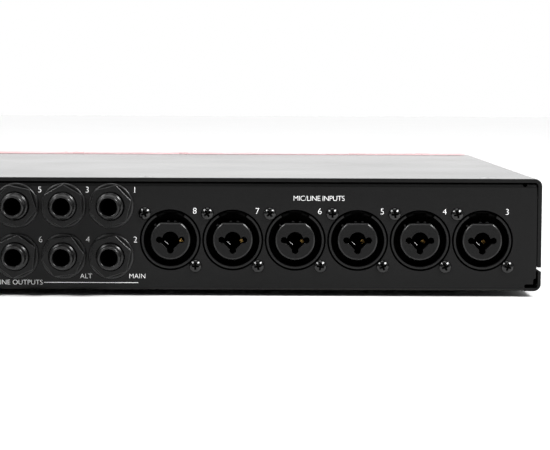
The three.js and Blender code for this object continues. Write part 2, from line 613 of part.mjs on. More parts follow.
const OPTICAL_CAVITY = { halfWidth: 4.9, halfHeight: 4.2, depth: 13.4 };
const SHUTTER_THICKNESS = 0.7;
const SHUTTER_SETBACK = 3.5; // from the sockets' face to the shutters' outer face

function opticalPair() {
  const seat = SOCKET_SEAT_Y;
  const { halfWidth, halfHeight, depth } = OPTICAL_CAVITY;
  const body = block([OPTICAL_X - 7, seat - 15, boardTop + GAP], [OPTICAL_X + 7, seat, STACK_UPPER_Z + 7]);
  const parts = [body];
  const cavities = [];
  for (const z of [STACK_UPPER_Z, STACK_LOWER_Z]) {
    const { halfWidth: holeWidth, halfHeight: holeHeight } = OPTICAL_HOLE;
    parts.push(block([OPTICAL_X - holeWidth + GAP, seat - 1, z - holeHeight + GAP],
      [OPTICAL_X + holeWidth - GAP, REAR_Y, z + holeHeight - GAP]));
    cavities.push(block([OPTICAL_X - halfWidth, REAR_Y - depth, z - halfHeight],
      [OPTICAL_X + halfWidth, REAR_Y + 1, z + halfHeight]));
  }
  return cut(join(parts), cavities);
}

// a sprung flap that hangs across an optical socket from a pin along its top edge
function opticalShutter() {
  const halfWidth = OPTICAL_CAVITY.halfWidth - GAP;
  const height = OPTICAL_CAVITY.halfHeight * 2 - 2 * GAP;
  const y1 = -SHUTTER_SETBACK;
  const y0 = y1 - SHUTTER_THICKNESS;
  const flap = block([-halfWidth, y0, -height], [halfWidth, y1, -0.2]);
  const pin = barX(0.45, -halfWidth, halfWidth, { y: (y0 + y1) / 2, z: -0.45 });
  return join([flap, pin]);
}

// a bayonet socket with its hexagon nut on the wall
function wordClockSocket() {
  const seat = SOCKET_SEAT_Y;
  const body = block([WORD_CLOCK_X - 7, seat - 14, boardTop + GAP], [WORD_CLOCK_X + 7, seat, MIDDLE_Z + 7]);
  const bar = (radius, y0, y1, sides = SMALL_ROUND) =>
    barY(radius, y0, y1, { x: WORD_CLOCK_X, z: MIDDLE_Z, sides });
  const barrel = bar(4.8, seat - 1, REAR_Y + 9, MEDIUM_ROUND);
  const nut = bar(6.2, seat - 1, REAR_Y + 2.4, 6);
  const lugs = barX(0.9, WORD_CLOCK_X - 5.7, WORD_CLOCK_X + 5.7, { y: REAR_Y + 5.5, z: MIDDLE_Z });
  const bore = bar(3.9, REAR_Y + 0.5, REAR_Y + 10, MEDIUM_ROUND);
  const insulator = bar(2.4, REAR_Y, REAR_Y + 6);
  const contact = bar(0.7, REAR_Y + 2, REAR_Y + 7, TINY_ROUND);
  return cut(cut(join([body, barrel, nut, lugs]), [bore]).add(insulator), [contact]);
}

const USB_SHELL = { halfWidth: 5, halfHeight: 2.1, depth: 9 };
const USB_MOUTH = { halfWidth: 4.5, halfHeight: 1.6, depth: 6.5 };

function usbSocket() {
  const seat = SOCKET_SEAT_Y;
  const { halfWidth, halfHeight, depth } = USB_SHELL;
  const body = block([USB_X - halfWidth, seat - depth, MIDDLE_Z - halfHeight],
    [USB_X + halfWidth, REAR_Y - 0.2, MIDDLE_Z + halfHeight]);
  const mouth = roundedRectangle(USB_X - USB_MOUTH.halfWidth, MIDDLE_Z - USB_MOUTH.halfHeight,
    USB_X + USB_MOUTH.halfWidth, MIDDLE_Z + USB_MOUTH.halfHeight, USB_MOUTH.halfHeight - 0.05);
  const tongue = block([USB_X - 3.3, REAR_Y - 7, MIDDLE_Z - 0.4], [USB_X + 3.3, REAR_Y - 1, MIDDLE_Z + 0.4]);
  const foot = block([USB_X - halfWidth, seat - 8, boardTop + GAP],
    [USB_X + halfWidth, seat - 1, MIDDLE_Z - halfHeight + 0.2]);
  return cut(body, [sweptY(mouth, REAR_Y - USB_MOUTH.depth, REAR_Y + 1)]).add(tongue).add(foot);
}

const INLET_CAVITY = { halfWidth: 12, halfHeight: 8.5, depth: 16 };
const INLET_BLADES = [[-7, -2.5], [7, -2.5], [0, 2.5]];
const INLET_FLANGE = { halfWidth: 24, shoulder: 12, halfHeight: 11.2, endHalfHeight: 5 };

// a three-pin mains inlet on a flange that two screws hold to the wall
function mainsInlet() {
  const { halfWidth, halfHeight, depth } = INLET_CAVITY;
  const { halfWidth: end, shoulder, halfHeight: tall, endHalfHeight: low } = INLET_FLANGE;
  const flange = polygon([[-end, -low], [-shoulder, -tall], [shoulder, -tall], [end, -low],
    [end, low], [shoulder, tall], [-shoulder, tall], [-end, low]]);
  const plate = sweptY(flange, REAR_Y + GAP, REAR_Y + 3);
  const bodyX = INLET_HOLE.halfWidth - GAP;
  const bodyZ = INLET_HOLE.halfHeight - GAP;
  const body = block([-bodyX, REAR_Y - 20, -bodyZ], [bodyX, REAR_Y + 1, bodyZ]);
  const cavity = polygon([[-halfWidth, -halfHeight], [halfWidth, -halfHeight], [halfWidth, halfHeight - 4],
    [halfWidth - 4, halfHeight], [-halfWidth + 4, halfHeight], [-halfWidth, halfHeight - 4]]);
  const blades = INLET_BLADES.map(([x, z]) =>
    block([x - 1, REAR_Y - depth - 2, z - 2], [x + 1, REAR_Y - 3, z + 2]));
  const screwHoles = [-20, 20].map((x) => barY(1.7, REAR_Y, REAR_Y + 4, { x, sides: SMALL_ROUND }));
  const hollow = sweptY(cavity, REAR_Y - depth, REAR_Y + 4);
  return cut(join([plate, body]), [hollow, ...screwHoles]).add(join(blades));
}

place('midi_socket_pair', midiSocketPair(), blackPlastic());
place('coax_pair', coaxPair(), brightMetal());
place('optical_pair', opticalPair(), blackPlastic());
[STACK_UPPER_Z, STACK_LOWER_Z].forEach((z, i) => {
  place(`optical_shutter_${i + 1}`, opticalShutter(), greyPlastic(),
    { position: [OPTICAL_X, REAR_Y, z + OPTICAL_CAVITY.halfHeight - GAP / 2] });
});
place('word_clock_socket', wordClockSocket(), brightMetal());
place('usb_socket', usbSocket(), brightMetal());
place('mains_inlet', mainsInlet(), blackPlastic(), { position: [INLET_X, 0, MIDDLE_Z] });

// ---------------------------------------------------------------- front controls

// A knob with its shaft, its axis on Y, its skirt just clear of the panel whose face is y = 0. A groove
// across its rim and face is the pointer.
function knob({ radius, reach, shaftRadius, shaftLength, sides = MEDIUM_ROUND }) {
  const skirt = -0.6;
  const body = turned([[0, -reach], [radius * 0.86, -reach], [radius * 0.94, -reach + 1], [radius, skirt - 2],
    [radius, skirt], [shaftRadius, skirt], [shaftRadius, shaftLength], [0, shaftLength]], sides);
  const pointer = block([-0.5, -reach - 1, radius * 0.3], [0.5, -reach + 0.5, radius + 1]);
  return body.subtract(pointer);
}

const smallKnob = { radius: 5.6, reach: 12, shaftRadius: 3, shaftLength: 9 };
const monitorKnob = { radius: 12.5, reach: KNOB_REACH, shaftRadius: 4, shaftLength: 9, sides: LARGE_ROUND };

GAIN_X.forEach((x, i) => {
  place(`gain_knob_${i + 1}`, knob(smallKnob), greyPlastic(), { position: [x, FRONT_Y, CONTROL_Z] });
});
place('monitor_knob', knob(monitorKnob), greyPlastic(), { position: [MONITOR_X, FRONT_Y, CONTROL_Z] });
PHONES_X.forEach((x, i) => {
  place(`phones_knob_${i + 1}`, knob(smallKnob), greyPlastic(), { position: [x, FRONT_Y, PHONES_KNOB_Z] });
});

// a small rectangular push button on a square stem; the panel's face is y = 0
function pushButton() {
  const { halfWidth, halfHeight } = BUTTON_HOLE;
  const cap = block([-halfWidth + 0.4, -2 - BUTTON_TRAVEL, -halfHeight + 0.4],
    [halfWidth - 0.4, PANEL_THICKNESS + 1, halfHeight - 0.4]);
  return cap.add(block([-1.5, PANEL_THICKNESS, -1.5], [1.5, 9.5, 1.5]));
}

const buttons = {
  phantom_button_1: PHANTOM_BUTTONS[0],
  phantom_button_2: PHANTOM_BUTTONS[1],
  dim_button: SWITCH_BUTTONS[0],
  mute_button: SWITCH_BUTTONS[1],
};
for (const [name, [x, z]] of Object.entries(buttons)) {
  place(name, pushButton(), greyPlastic(), { position: [x, FRONT_Y, z] });
}

// The power rocker is drawn about its pivot: a shallow V of two faces above a rounded back. It rests with
// its lower half pressed in, and turns by twice its throw.
const ROCKER_PIVOT_DEPTH = 4;
const ROCKER_THROW = THREE.MathUtils.degToRad(10);

function powerRocker() {
  const halfHeight = 8.8;
  const proud = ROCKER_PIVOT_DEPTH + 1.6;
  const middle = ROCKER_PIVOT_DEPTH + 0.4;
  const outline = polygon([[-middle, 0], [-proud, -halfHeight], [1, -halfHeight + 1.2], [4.5, -4],
    [4.5, 4], [1, halfHeight - 1.2], [-proud, halfHeight]]);
  return sweptX(outline, -POWER_HOLE.halfWidth + 0.5, POWER_HOLE.halfWidth - 0.5);
}

const rocker = place('power_rocker', powerRocker(), blackPlastic(),
  { position: [POWER_X, FRONT_Y + ROCKER_PIVOT_DEPTH, CONTROL_Z] });
rocker.rotation.x = ROCKER_THROW;

// two headphone jacks on one body behind the panel
function phonesJackPair() {
  const seat = PANEL_SEAT_Y;
  const body = block([PHONES_X[0] - 9, seat, BASE_Z + 6.5], [PHONES_X[1] + 9, seat + 25, PHONES_JACK_Z + 7]);
  const bushings = PHONES_X.map((x) =>
    barY(PHONES_HOLE_RADIUS - 0.4, FRONT_Y - 1.5, seat + 1, { x, z: PHONES_JACK_Z }));
  const bores = PHONES_X.map((x) =>
    barY(JACK_BORE_RADIUS, FRONT_Y - 3, seat + 22, { x, z: PHONES_JACK_Z, sides: SMALL_ROUND }));
  return cut(join([body, ...bushings]), bores);
}

place('phones_jack_pair', phonesJackPair(), blackPlastic());

export default interfaceGroup;
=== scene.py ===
"""A one-rack-unit audio interface seen from behind: fine surfaces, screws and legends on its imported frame."""

import math
import random

import bmesh
import bpy
from mathutils import Matrix, Vector


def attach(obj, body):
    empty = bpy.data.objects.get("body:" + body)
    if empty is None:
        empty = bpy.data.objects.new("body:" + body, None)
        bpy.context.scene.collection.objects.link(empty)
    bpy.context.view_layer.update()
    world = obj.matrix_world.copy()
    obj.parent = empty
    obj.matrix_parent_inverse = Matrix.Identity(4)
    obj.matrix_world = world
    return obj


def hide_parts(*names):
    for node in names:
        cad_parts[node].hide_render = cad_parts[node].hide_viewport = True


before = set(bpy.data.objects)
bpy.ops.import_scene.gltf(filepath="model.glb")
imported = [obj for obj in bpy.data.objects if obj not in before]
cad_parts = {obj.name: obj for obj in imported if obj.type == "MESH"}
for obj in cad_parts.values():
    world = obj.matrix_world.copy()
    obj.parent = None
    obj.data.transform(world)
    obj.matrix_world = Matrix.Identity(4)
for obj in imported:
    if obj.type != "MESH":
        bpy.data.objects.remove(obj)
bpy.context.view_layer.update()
chance = random.Random(8)

# ---------- sizes, in millimetres

MM = 0.001
HALF_WIDTH = 220
BASE_Z = 2.4
TOP_Z = 46.4
REAR_Y = 127
FRONT_Y = -123
PANEL_BACK_Y = -120
SHELL_FRONT_Y = -119.7
GAP = 0.3

COVER_SHEET = 1.5
TRAY_SHEET = 1.2
BEND_RADIUS = 2.9
WALL_BEND = 1.65
WALL_TOP_Z = TOP_Z - COVER_SHEET - GAP
WALL_SIDE = HALF_WIDTH - 2
COVER_SIDE_END_Z = BASE_Z + 9.3
STEP_START_Z = BASE_Z + 7.7
STEP_END_Z = BASE_Z + 8.6
SIDE_FLANGE_TOP_Z = BASE_Z + 38
COVER_SCREW_X = [u - HALF_WIDTH for u in (20.6, 155.2, 284.8, 419.4)]
COVER_SCREWS = [(x, y) for y in (REAR_Y - 6, SHELL_FRONT_Y + 6) for x in COVER_SCREW_X]
EAR_SCREWS = [(FRONT_Y + along, BASE_Z + up) for along in (18, 50) for up in (17, 33)]

MIC_Z = BASE_Z + 19.7
MIC_X = [-HALF_WIDTH + 23.1 + 24.4 * i for i in range(6)]
MIC_HOLE = 11.95
CONTROL_Z = BASE_Z + 22.5
FRONT_MIC_X = [-188, -157]
LINE_X = [-HALF_WIDTH + 168.2 + 18.5 * i for i in range(5)]
LINE_Z = [BASE_Z + 33, BASE_Z + 13.3]
LINE_HOLE = 5.6

MIDI_X = [51, 73]
COAX_X = 93
OPTICAL_X = 111
WORD_CLOCK_X = 130
USB_X = 147
INLET_X = 184
MIDDLE_Z = BASE_Z + 22
STACK_Z = [BASE_Z + 31, BASE_Z + 14]

GAIN_X = [-112 + 19 * i for i in range(8)]
METER_X = (39, 99)
METER_Z = (BASE_Z + 11, BASE_Z + 35)
MONITOR_X = 121
PHONES_X = [160, 182]
PHONES_KNOB_Z = BASE_Z + 30
PHONES_JACK_Z = BASE_Z + 13
POWER_X = 205
BUTTONS = {
    "phantom_button_1": (-133, CONTROL_Z + 7),
    "phantom_button_2": (-133, CONTROL_Z - 7),
    "dim_button": (144, CONTROL_Z + 7),
    "mute_button": (144, CONTROL_Z - 7),
}

# ---------- building solids

AXES = {
    "X": lambda a, b, t: (t, a, b),
    "Y": lambda a, b, t: (a, t, b),
    "Z": lambda a, b, t: (a, b, t),
}


def solid(vertices, faces):
    """A closed mesh object from corners in millimetres, its faces turned outwards."""
    mesh = bpy.data.meshes.new("solid")
    mesh.from_pydata([tuple(c * MM for c in v) for v in vertices], [], faces)
    shell = bmesh.new()
    shell.from_mesh(mesh)
    bmesh.ops.recalc_face_normals(shell, faces=shell.faces)
    shell.to_mesh(mesh)
    shell.free()
    item = bpy.data.objects.new("solid", mesh)
    bpy.context.scene.collection.objects.link(item)
    return item


def prism(outline, low, high, axis="Y", top=None):
    """An outline swept along an axis, to the same outline or to another with as many corners."""
    count = len(outline)
    place = AXES[axis]
    vertices = [place(a, b, low) for a, b in outline] + [place(a, b, high) for a, b in (top or outline)]
    sides = [(i, (i + 1) % count, count + (i + 1) % count, count + i) for i in range(count)]
    return solid(vertices, [*sides, tuple(range(count)), tuple(range(count, 2 * count))])


def loft(sections, axis="Y"):
    """Outlines with equally many corners at rising heights, joined into one closed solid."""
    count = len(sections[0][1])
    place = AXES[axis]
    vertices = [place(a, b, height) for height, outline in sections for a, b in outline]
    faces = [tuple(range(count)), tuple(range(len(vertices) - count, len(vertices)))]
    for level in range(len(sections) - 1):
        base = level * count
        for i in range(count):
            j = (i + 1) % count
            faces.append((base + i, base + j, base + count + j, base + count + i))
    return solid(vertices, faces)


def block(low, high):
    (x0, y0, z0), (x1, y1, z1) = low, high
    return prism([(x0, z0), (x1, z0), (x1, z1), (x0, z1)], y0, y1)


def arc(a, b, radius, start, end, steps=12):
    """Points on a circle round (a, b) from one angle to another, in degrees."""
    angles = [math.radians(start + (end - start) * i / steps) for i in range(steps + 1)]
    return [(a + radius * math.cos(t), b + radius * math.sin(t)) for t in angles]


def circle(a, b, radius, steps=48):
    return arc(a, b, radius, 0, 360, steps)[:-1]


def bar(radius, low, high, a=0, b=0, axis="Y", steps=48):
    return prism(circle(a, b, radius, steps), low, high, axis)


def rounded_box(a0, b0, a1, b1, radius, steps=8):
    corners = [(a1 - radius, b1 - radius, 0), (a0 + radius, b1 - radius, 90),
               (a0 + radius, b0 + radius, 180), (a1 - radius, b0 + radius, 270)]
    return [p for a, b, start in corners for p in arc(a, b, radius, start, start + 90, steps)]


def centred(a, b, half_a, half_b, radius):
    """A rounded box round (a, b)."""
    return rounded_box(a - half_a, b - half_b, a + half_a, b + half_b, radius)


def lathe(profile, steps=48, centre=(0, 0), axis="Y", looped=False, radius_at=None):
    """(radius, height) points turned about an axis. radius_at can change a radius by its height and angle."""
    place = AXES[axis]
    vertices, rings, faces = [], [], []
    for radius, height in profile:
        if radius == 0:
            rings.append([len(vertices)] * steps)
            vertices.append(place(*centre, height))
            continue
        rings.append(list(range(len(vertices), len(vertices) + steps)))
        for i in range(steps):
            turn = 2 * math.pi * i / steps
            r = radius_at(radius, height, turn) if radius_at else radius
            vertices.append(place(centre[0] + r * math.cos(turn), centre[1] + r * math.sin(turn), height))
    for lower, upper in zip(rings, rings[1:] + rings[:1] if looped else rings[1:]):
        for i in range(steps):
            j = (i + 1) % steps
            face = list(dict.fromkeys([lower[i], lower[j], upper[j], upper[i]]))
            if len(face) > 2:
                faces.append(tuple(face))
    return solid(vertices, faces)


def merged(*items):
    """One object that holds all the meshes; the others are removed."""
    items = [i for group in items for i in (group if isinstance(group, list) else [group])]
    whole = bmesh.new()
    for item in items:
        mesh = item.data.copy()
        mesh.transform(item.matrix_basis)
        whole.from_mesh(mesh)
    whole.to_mesh(items[0].data)
    whole.free()
    items[0].matrix_basis = Matrix.Identity(4)
    for item in items[1:]:
        bpy.data.objects.remove(item)
    return items[0]


def baked(item):
    """The object with its modifiers made final."""
    bpy.context.view_layer.update()
    graph = bpy.context.evaluated_depsgraph_get()
    mesh = bpy.data.meshes.new_from_object(item.evaluated_get(graph))
    item.modifiers.clear()
    item.data = mesh
    return item


def combine(item, tool, operation):
    modifier = item.modifiers.new("combine", "BOOLEAN")
    modifier.operation = operation
    modifier.solver = "MANIFOLD"
    modifier.object = tool
    baked(item)
    bpy.data.objects.remove(tool)
    return item


def cut(item, *tools):
    for tool in tools:
        combine(item, tool, "DIFFERENCE")
    return item


def joined(item, *tools):
    for tool in tools:
        combine(item, tool, "UNION")
    return item


def softened(item, width, segments=2, angle=35):
    """Small rounds on every edge sharper than the angle."""
    shell = bmesh.new()
    shell.from_mesh(item.data)
    bmesh.ops.remove_doubles(shell, verts=shell.verts, dist=0.002 * MM)
    bmesh.ops.dissolve_limit(shell, angle_limit=math.radians(0.3), verts=shell.verts, edges=shell.edges)
    shell.to_mesh(item.data)
    shell.free()
    modifier = item.modifiers.new("soften", "BEVEL")
    modifier.width = width * MM
    modifier.segments = segments
    modifier.limit_method = "ANGLE"
    modifier.angle_limit = math.radians(angle)
    modifier.miter_outer = "MITER_ARC"
    return baked(item)


def smoothed(item, angle=32):
    """Smooth shading, broken at edges sharper than the angle."""
    item.data.shade_smooth()
    item.data.set_sharp_from_angle(angle=math.radians(angle))
    modifier = item.modifiers.new("shade", "WEIGHTED_NORMAL")
    modifier.keep_sharp = True
    return baked(item)


def off_axis(centre):
    """How far a face's centre is from the Y axis."""
    return math.hypot(centre.x, centre.z)


def painted(item, base, *rules):
    """Several finishes on one mesh. Each rule is a finish and a test of a face's centre (mm) and normal."""
    item.data.materials.clear()
    for finish in (base, *(rule[0] for rule in rules)):
        item.data.materials.append(finish)
    for face in item.data.polygons:
        for index, (finish, chosen) in enumerate(rules, 1):
            if chosen(face.center / MM, face.normal):
                face.material_index = index
                break
    return item


def keep(item, name, material, slot, body="chassis", instead_of=()):
    """Names a finished piece, paints it unless it is painted already, and fixes it to its body."""
    item.name = name
    if not any(item.data.materials):
        item.data.materials.clear()
        item.data.materials.append(material)
    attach(item, body)
    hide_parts(*instead_of)
    return item


def copied(item, at, turn=(0, 0, 0)):
    """Another object with the same mesh, turned and then moved, in millimetres and degrees."""
    copy = bpy.data.objects.new("copy", item.data)
    bpy.context.scene.collection.objects.link(copy)
    copy.location = [c * MM for c in at]
    copy.rotation_euler = [math.radians(t) for t in turn]
    return copy


def moved(item, at, turn=(0, 0, 0)):
    item.location = [c * MM for c in at]
    item.rotation_euler = [math.radians(t) for t in turn]
    bpy.context.view_layer.update()
    item.data.transform(item.matrix_basis)
    item.matrix_basis = Matrix.Identity(4)
    return item

# ---------- finishes


def added(tree, kind, sources=(), **values):
    """A shader node with outputs linked into its sockets and its other sockets set."""
    node = tree.nodes.new(kind)
    for socket, source in sources:
        tree.links.new(source, node.inputs[socket])
    for socket, value in values.items():
        node.inputs[socket.replace("_", " ")].default_value = value
    return node


def surface(name, dark, light, roughness, grain, depth, patch=25, spread=0.08, metallic=0.0,
            specular=0.5, coat=0.0, stretch=(1, 1, 1)):
    """A finish that varies in fine grains (colour, height) and broad patches (colour, gloss), sized in mm."""
    material = bpy.data.materials.new(name)
    material.use_nodes = True
    tree = material.node_tree
    shader = tree.nodes["Principled BSDF"]
    for socket, value in (("Metallic", metallic), ("Specular IOR Level", specular), ("Coat Weight", coat)):
        shader.inputs[socket].default_value = value
    coordinates = added(tree, "ShaderNodeTexCoord").outputs["Object"]
    stretched = added(tree, "ShaderNodeMapping", [("Vector", coordinates)], Scale=stretch).outputs["Vector"]

    def noise(size, detail):
        place = [("Vector", stretched)]
        return added(tree, "ShaderNodeTexNoise", place, Scale=1 / (size * MM), Detail=detail).outputs["Fac"]

    fine, broad = noise(grain, 2), noise(patch, 4)
    blend = added(tree, "ShaderNodeMath", [(0, fine), (1, broad)])
    half = added(tree, "ShaderNodeMath", [(0, blend.outputs[0])])
    half.operation = "MULTIPLY"
    half.inputs[1].default_value = 0.5
    tone = added(tree, "ShaderNodeValToRGB", [("Fac", half.outputs[0])])
    low, high = tone.color_ramp.elements
    low.position, low.color = 0.3, (*dark, 1)
    high.position, high.color = 0.7, (*light, 1)
    gloss = added(tree, "ShaderNodeMapRange", [("Value", broad)], From_Min=0.3, From_Max=0.7,
                  To_Min=max(0.02, roughness - spread), To_Max=min(1, roughness + spread))
    bump = added(tree, "ShaderNodeBump", [("Height", fine)], Distance=depth * MM, Strength=1)
    tree.links.new(tone.outputs["Color"], shader.inputs["Base Color"])
    tree.links.new(gloss.outputs["Result"], shader.inputs["Roughness"])
    tree.links.new(bump.outputs["Normal"], shader.inputs["Normal"])
    return material


def grey(value):
    return (value, value, value)


PAINT = surface("case_paint", grey(0.003), grey(0.006), 0.25, 0.5, 0.003, patch=60, spread=0.015,
                specular=0.12)
SOCKET = surface("socket_plastic", grey(0.003), grey(0.006), 0.3, 0.3, 0.004, specular=0.12)
RIM = surface("rim_plastic", grey(0.003), grey(0.007), 0.32, 0.3, 0.004, specular=0.2)
NUT = surface("nut_plastic", grey(0.002), grey(0.004), 0.24, 0.4, 0.003, patch=6, specular=0.14)
BUSHING = surface("bushing_plastic", grey(0.003), grey(0.006), 0.26, 0.4, 0.003, patch=6, specular=0.3)
# lighter grey painted highlight, laid on the rounded edges of nuts, washers and socket cores
PAINTED_HIGHLIGHT = surface("painted_highlight_plastic", grey(0.009), grey(0.015), 0.3, 0.4, 0.003, patch=6, specular=0.3)
CONTROL = surface("control_grey", (0.02, 0.021, 0.023), (0.03, 0.031, 0.034), 0.45, 0.3, 0.01)
RED = surface("red_anodised", (0.26, 0.006, 0.012), (0.34, 0.01, 0.018), 0.34, 0.12, 0.003, metallic=0.85,
              stretch=(0.02, 1, 1))
RED_EDGE = surface("red_cut_edge", (0.72, 0.48, 0.49), (0.82, 0.57, 0.58), 0.3, 0.12, 0.002, metallic=0.6)
SMOKE = surface("smoked_acrylic", grey(0.002), grey(0.004), 0.06, 0.8, 0.001, patch=40, spread=0.03, coat=0.5)
RUBBER = surface("foot_rubber", grey(0.006), grey(0.012), 0.8, 0.25, 0.03)
BOARD = surface("solder_mask", (0.008, 0.05, 0.022), (0.016, 0.08, 0.036), 0.4, 0.8, 0.02, patch=4)
COMPONENT = surface("component_grey", grey(0.02), grey(0.035), 0.5, 0.3, 0.01)
NICKEL = surface("nickel_plate", grey(0.55), grey(0.66), 0.22, 0.3, 0.004, patch=8, metallic=1)
# near-black painted shade, laid on recesses, socket interiors, bores and the unlit sides of nuts
PAINTED_SHADE = surface("painted_shade_plastic", grey(0.0008), grey(0.0016), 0.7, 0.3, 0.004, specular=0.05)
ZINC = surface("black_zinc", grey(0.028), grey(0.048), 0.2, 0.25, 0.004, patch=3, metallic=1)
GOLD = surface("gold_contact", (0.6, 0.36, 0.1), (0.8, 0.5, 0.17), 0.3, 0.2, 0.003, patch=3, metallic=1)
INK = surface("legend_ink", grey(0.9), grey(0.97), 0.5, 0.15, 0.004, patch=4)
LENS = surface("clear_lens", (0.10, 0.16, 0.10), (0.16, 0.24, 0.16), 0.1, 0.3, 0.002, patch=4)
GREEN_LIGHT = surface("green_segment", (0.02, 0.16, 0.03), (0.03, 0.22, 0.05), 0.2, 0.3, 0.002, patch=4)
AMBER_LIGHT = surface("amber_segment", (0.3, 0.14, 0.01), (0.38, 0.18, 0.02), 0.2, 0.3, 0.002, patch=4)
RED_LIGHT = surface("red_segment", (0.3, 0.02, 0.01), (0.38, 0.03, 0.02), 0.2, 0.3, 0.002, patch=4)
PAPER = surface("floor_paper", grey(0.86), grey(0.9), 0.7, 0.6, 0.01, patch=120)

# a finish with the record slot that it stands for
PLASTIC = (SOCKET, "socket_black")
INSULATOR = (RIM, "socket_black")
KEY = (CONTROL, "control_grey")
PLATED = (NICKEL, "plated_metal")
CONTACT = (GOLD, "contact_gold")
CLEAR = (LENS, "lens_clear")
WHITE = (INK, "legend_white")
SCREW = (ZINC, "screw_zinc")

# ---------- case


def countersink(x, y):
    """What a flat-headed screw takes out of the cover."""
    below, above = TOP_Z - 2.5, TOP_Z + 0.2
    return lathe([(0, below), (1.6, below), (1.6, TOP_Z - 1.55), (3.35, above), (0, above)], 40, (x, y), "Z")


def top_cover():
    side, bend_x, bend_z = HALF_WIDTH, HALF_WIDTH - BEND_RADIUS, TOP_Z - BEND_RADIUS
    inner = BEND_RADIUS - COVER_SHEET
    outline = [
        (side, COVER_SIDE_END_Z),
        *arc(bend_x, bend_z, BEND_RADIUS, 0, 90),
        *arc(-bend_x, bend_z, BEND_RADIUS, 90, 180),
        (-side, COVER_SIDE_END_Z),
        (-side + COVER_SHEET, COVER_SIDE_END_Z),
        *arc(-bend_x, bend_z, inner, 180, 90),
        *arc(bend_x, bend_z, inner, 90, 0),
        (side - COVER_SHEET, COVER_SIDE_END_Z),
    ]
    cover = prism(outline, SHELL_FRONT_Y, REAR_Y)
    cut(cover, *[countersink(x, y) for x, y in COVER_SCREWS])
    cut(cover, *[bar(2, -HALF_WIDTH - 3, HALF_WIDTH + 3, y, z, "X", 32) for y, z in EAR_SCREWS])
    return smoothed(softened(cover, 0.14))


def tray_section():
    """The floor and the two side flanges, which step inwards behind the cover."""
    bend_x, bend_z = HALF_WIDTH - BEND_RADIUS, BASE_Z + BEND_RADIUS
    inner = BEND_RADIUS - TRAY_SHEET
    outer_low, outer_high = HALF_WIDTH, HALF_WIDTH - COVER_SHEET - GAP
    outside = [
        *arc(bend_x, bend_z, BEND_RADIUS, -90, 0),
        (outer_low, STEP_START_Z),
        (outer_high, STEP_END_Z),
        (outer_high, SIDE_FLANGE_TOP_Z),
    ]
    inside = [
        (outer_high - TRAY_SHEET, SIDE_FLANGE_TOP_Z),
        (outer_high - TRAY_SHEET, STEP_END_Z),
        (outer_low - TRAY_SHEET, STEP_START_Z),
        *arc(bend_x, bend_z, inner, 0, -90),
    ]
    return outside + inside + [(-x, z) for x, z in inside[::-1] + outside[::-1]]


def wall_section():
    """The rear wall in Y and Z, bent round at its foot and its head."""
    bend_y, inner = REAR_Y - WALL_BEND, WALL_BEND - TRAY_SHEET
    return [
        (REAR_Y - 6, BASE_Z),
        *arc(bend_y, BASE_Z + WALL_BEND, WALL_BEND, -90, 0),
        *arc(bend_y, WALL_TOP_Z - WALL_BEND, WALL_BEND, 0, 90),
        (REAR_Y - 13, WALL_TOP_Z),
        (REAR_Y - 13, WALL_TOP_Z - TRAY_SHEET),
        *arc(bend_y, WALL_TOP_Z - WALL_BEND, inner, 90, 0),
        *arc(bend_y, BASE_Z + WALL_BEND, inner, 0, -90),
        (REAR_Y - 6, BASE_Z + TRAY_SHEET),
    ]


def wall_reliefs(end):
    """Round-ended cuts beside the wall's bends, and the rounded corner of its tab, at one end (-1 or 1)."""
    def across(x0, x1, z0, z1, radius, y0=REAR_Y - 4, y1=REAR_Y + 1):
        low, high = sorted((end * (HALF_WIDTH - x0), end * (HALF_WIDTH - x1)))
        return prism(rounded_box(low, z0, high, z1, radius), y0, y1)

    slot_z = BASE_Z + TRAY_SHEET
    behind = REAR_Y - 14
    corner_x, corner_z, beyond = WALL_SIDE - 2, WALL_TOP_Z - 2, 3
    corner = [
        (corner_x, corner_z + beyond),
        *arc(corner_x, corner_z, 2, 90, 0),
        (corner_x + beyond, corner_z),
        (corner_x + beyond, corner_z + beyond),
    ]
    return [
        across(1.3, 3.05, slot_z, BASE_Z + 5, 0.8),
        across(1.3, 6.5, slot_z, slot_z + 1.5, 0.7),
        across(5.9, 7.5, WALL_TOP_Z - 1.4, TOP_Z + 2, 0.75, behind),
        across(0.9, 5.9, WALL_TOP_Z - 6, TOP_Z + 2, 0.2, behind, REAR_Y - TRAY_SHEET),
        prism([(end * x, z) for x, z in corner], behind, REAR_Y + 1),
    ]


def wall_holes():
    y0, y1 = REAR_Y - 3, REAR_Y + 1

    def square(x, z, half_x, half_z):
        return prism(centred(x, z, half_x, half_z, 0.6), y0, y1)

    return [
        *[bar(MIC_HOLE, y0, y1, x, MIC_Z, steps=96) for x in MIC_X],
        *[bar(LINE_HOLE, y0, y1, x, z) for x in LINE_X for z in LINE_Z],
        *[bar(7.9, y0, y1, x, MIDDLE_Z, steps=64) for x in MIDI_X],
        *[bar(4.9, y0, y1, COAX_X, z) for z in STACK_Z],
        *[square(OPTICAL_X, z, 6.1, 6) for z in STACK_Z],
        bar(6.6, y0, y1, WORD_CLOCK_X, MIDDLE_Z),
        square(USB_X, MIDDLE_Z, 5.3, 2.4),
        square(INLET_X, MIDDLE_Z, 14.2, 10.7),
    ]


def base_tray():
    trough = prism(tray_section(), SHELL_FRONT_Y, REAR_Y - 0.1)
    bend, floor_z = HALF_WIDTH - 6.4, BASE_Z + TRAY_SHEET
    cut(trough, block((-bend, REAR_Y - WALL_BEND - 1, BASE_Z - 1), (bend, REAR_Y + 1, floor_z + 1)))
    wall = prism(wall_section(), -WALL_SIDE, WALL_SIDE, "X")
    side = WALL_SIDE - 2
    lip = block((-side, SHELL_FRONT_Y, BASE_Z + 0.2), (side, SHELL_FRONT_Y + TRAY_SHEET, BASE_Z + 5.4))
    joined(trough, wall, lip)
    cut(trough, *wall_reliefs(-1), *wall_reliefs(1), *wall_holes())
    return smoothed(softened(trough, 0.1))


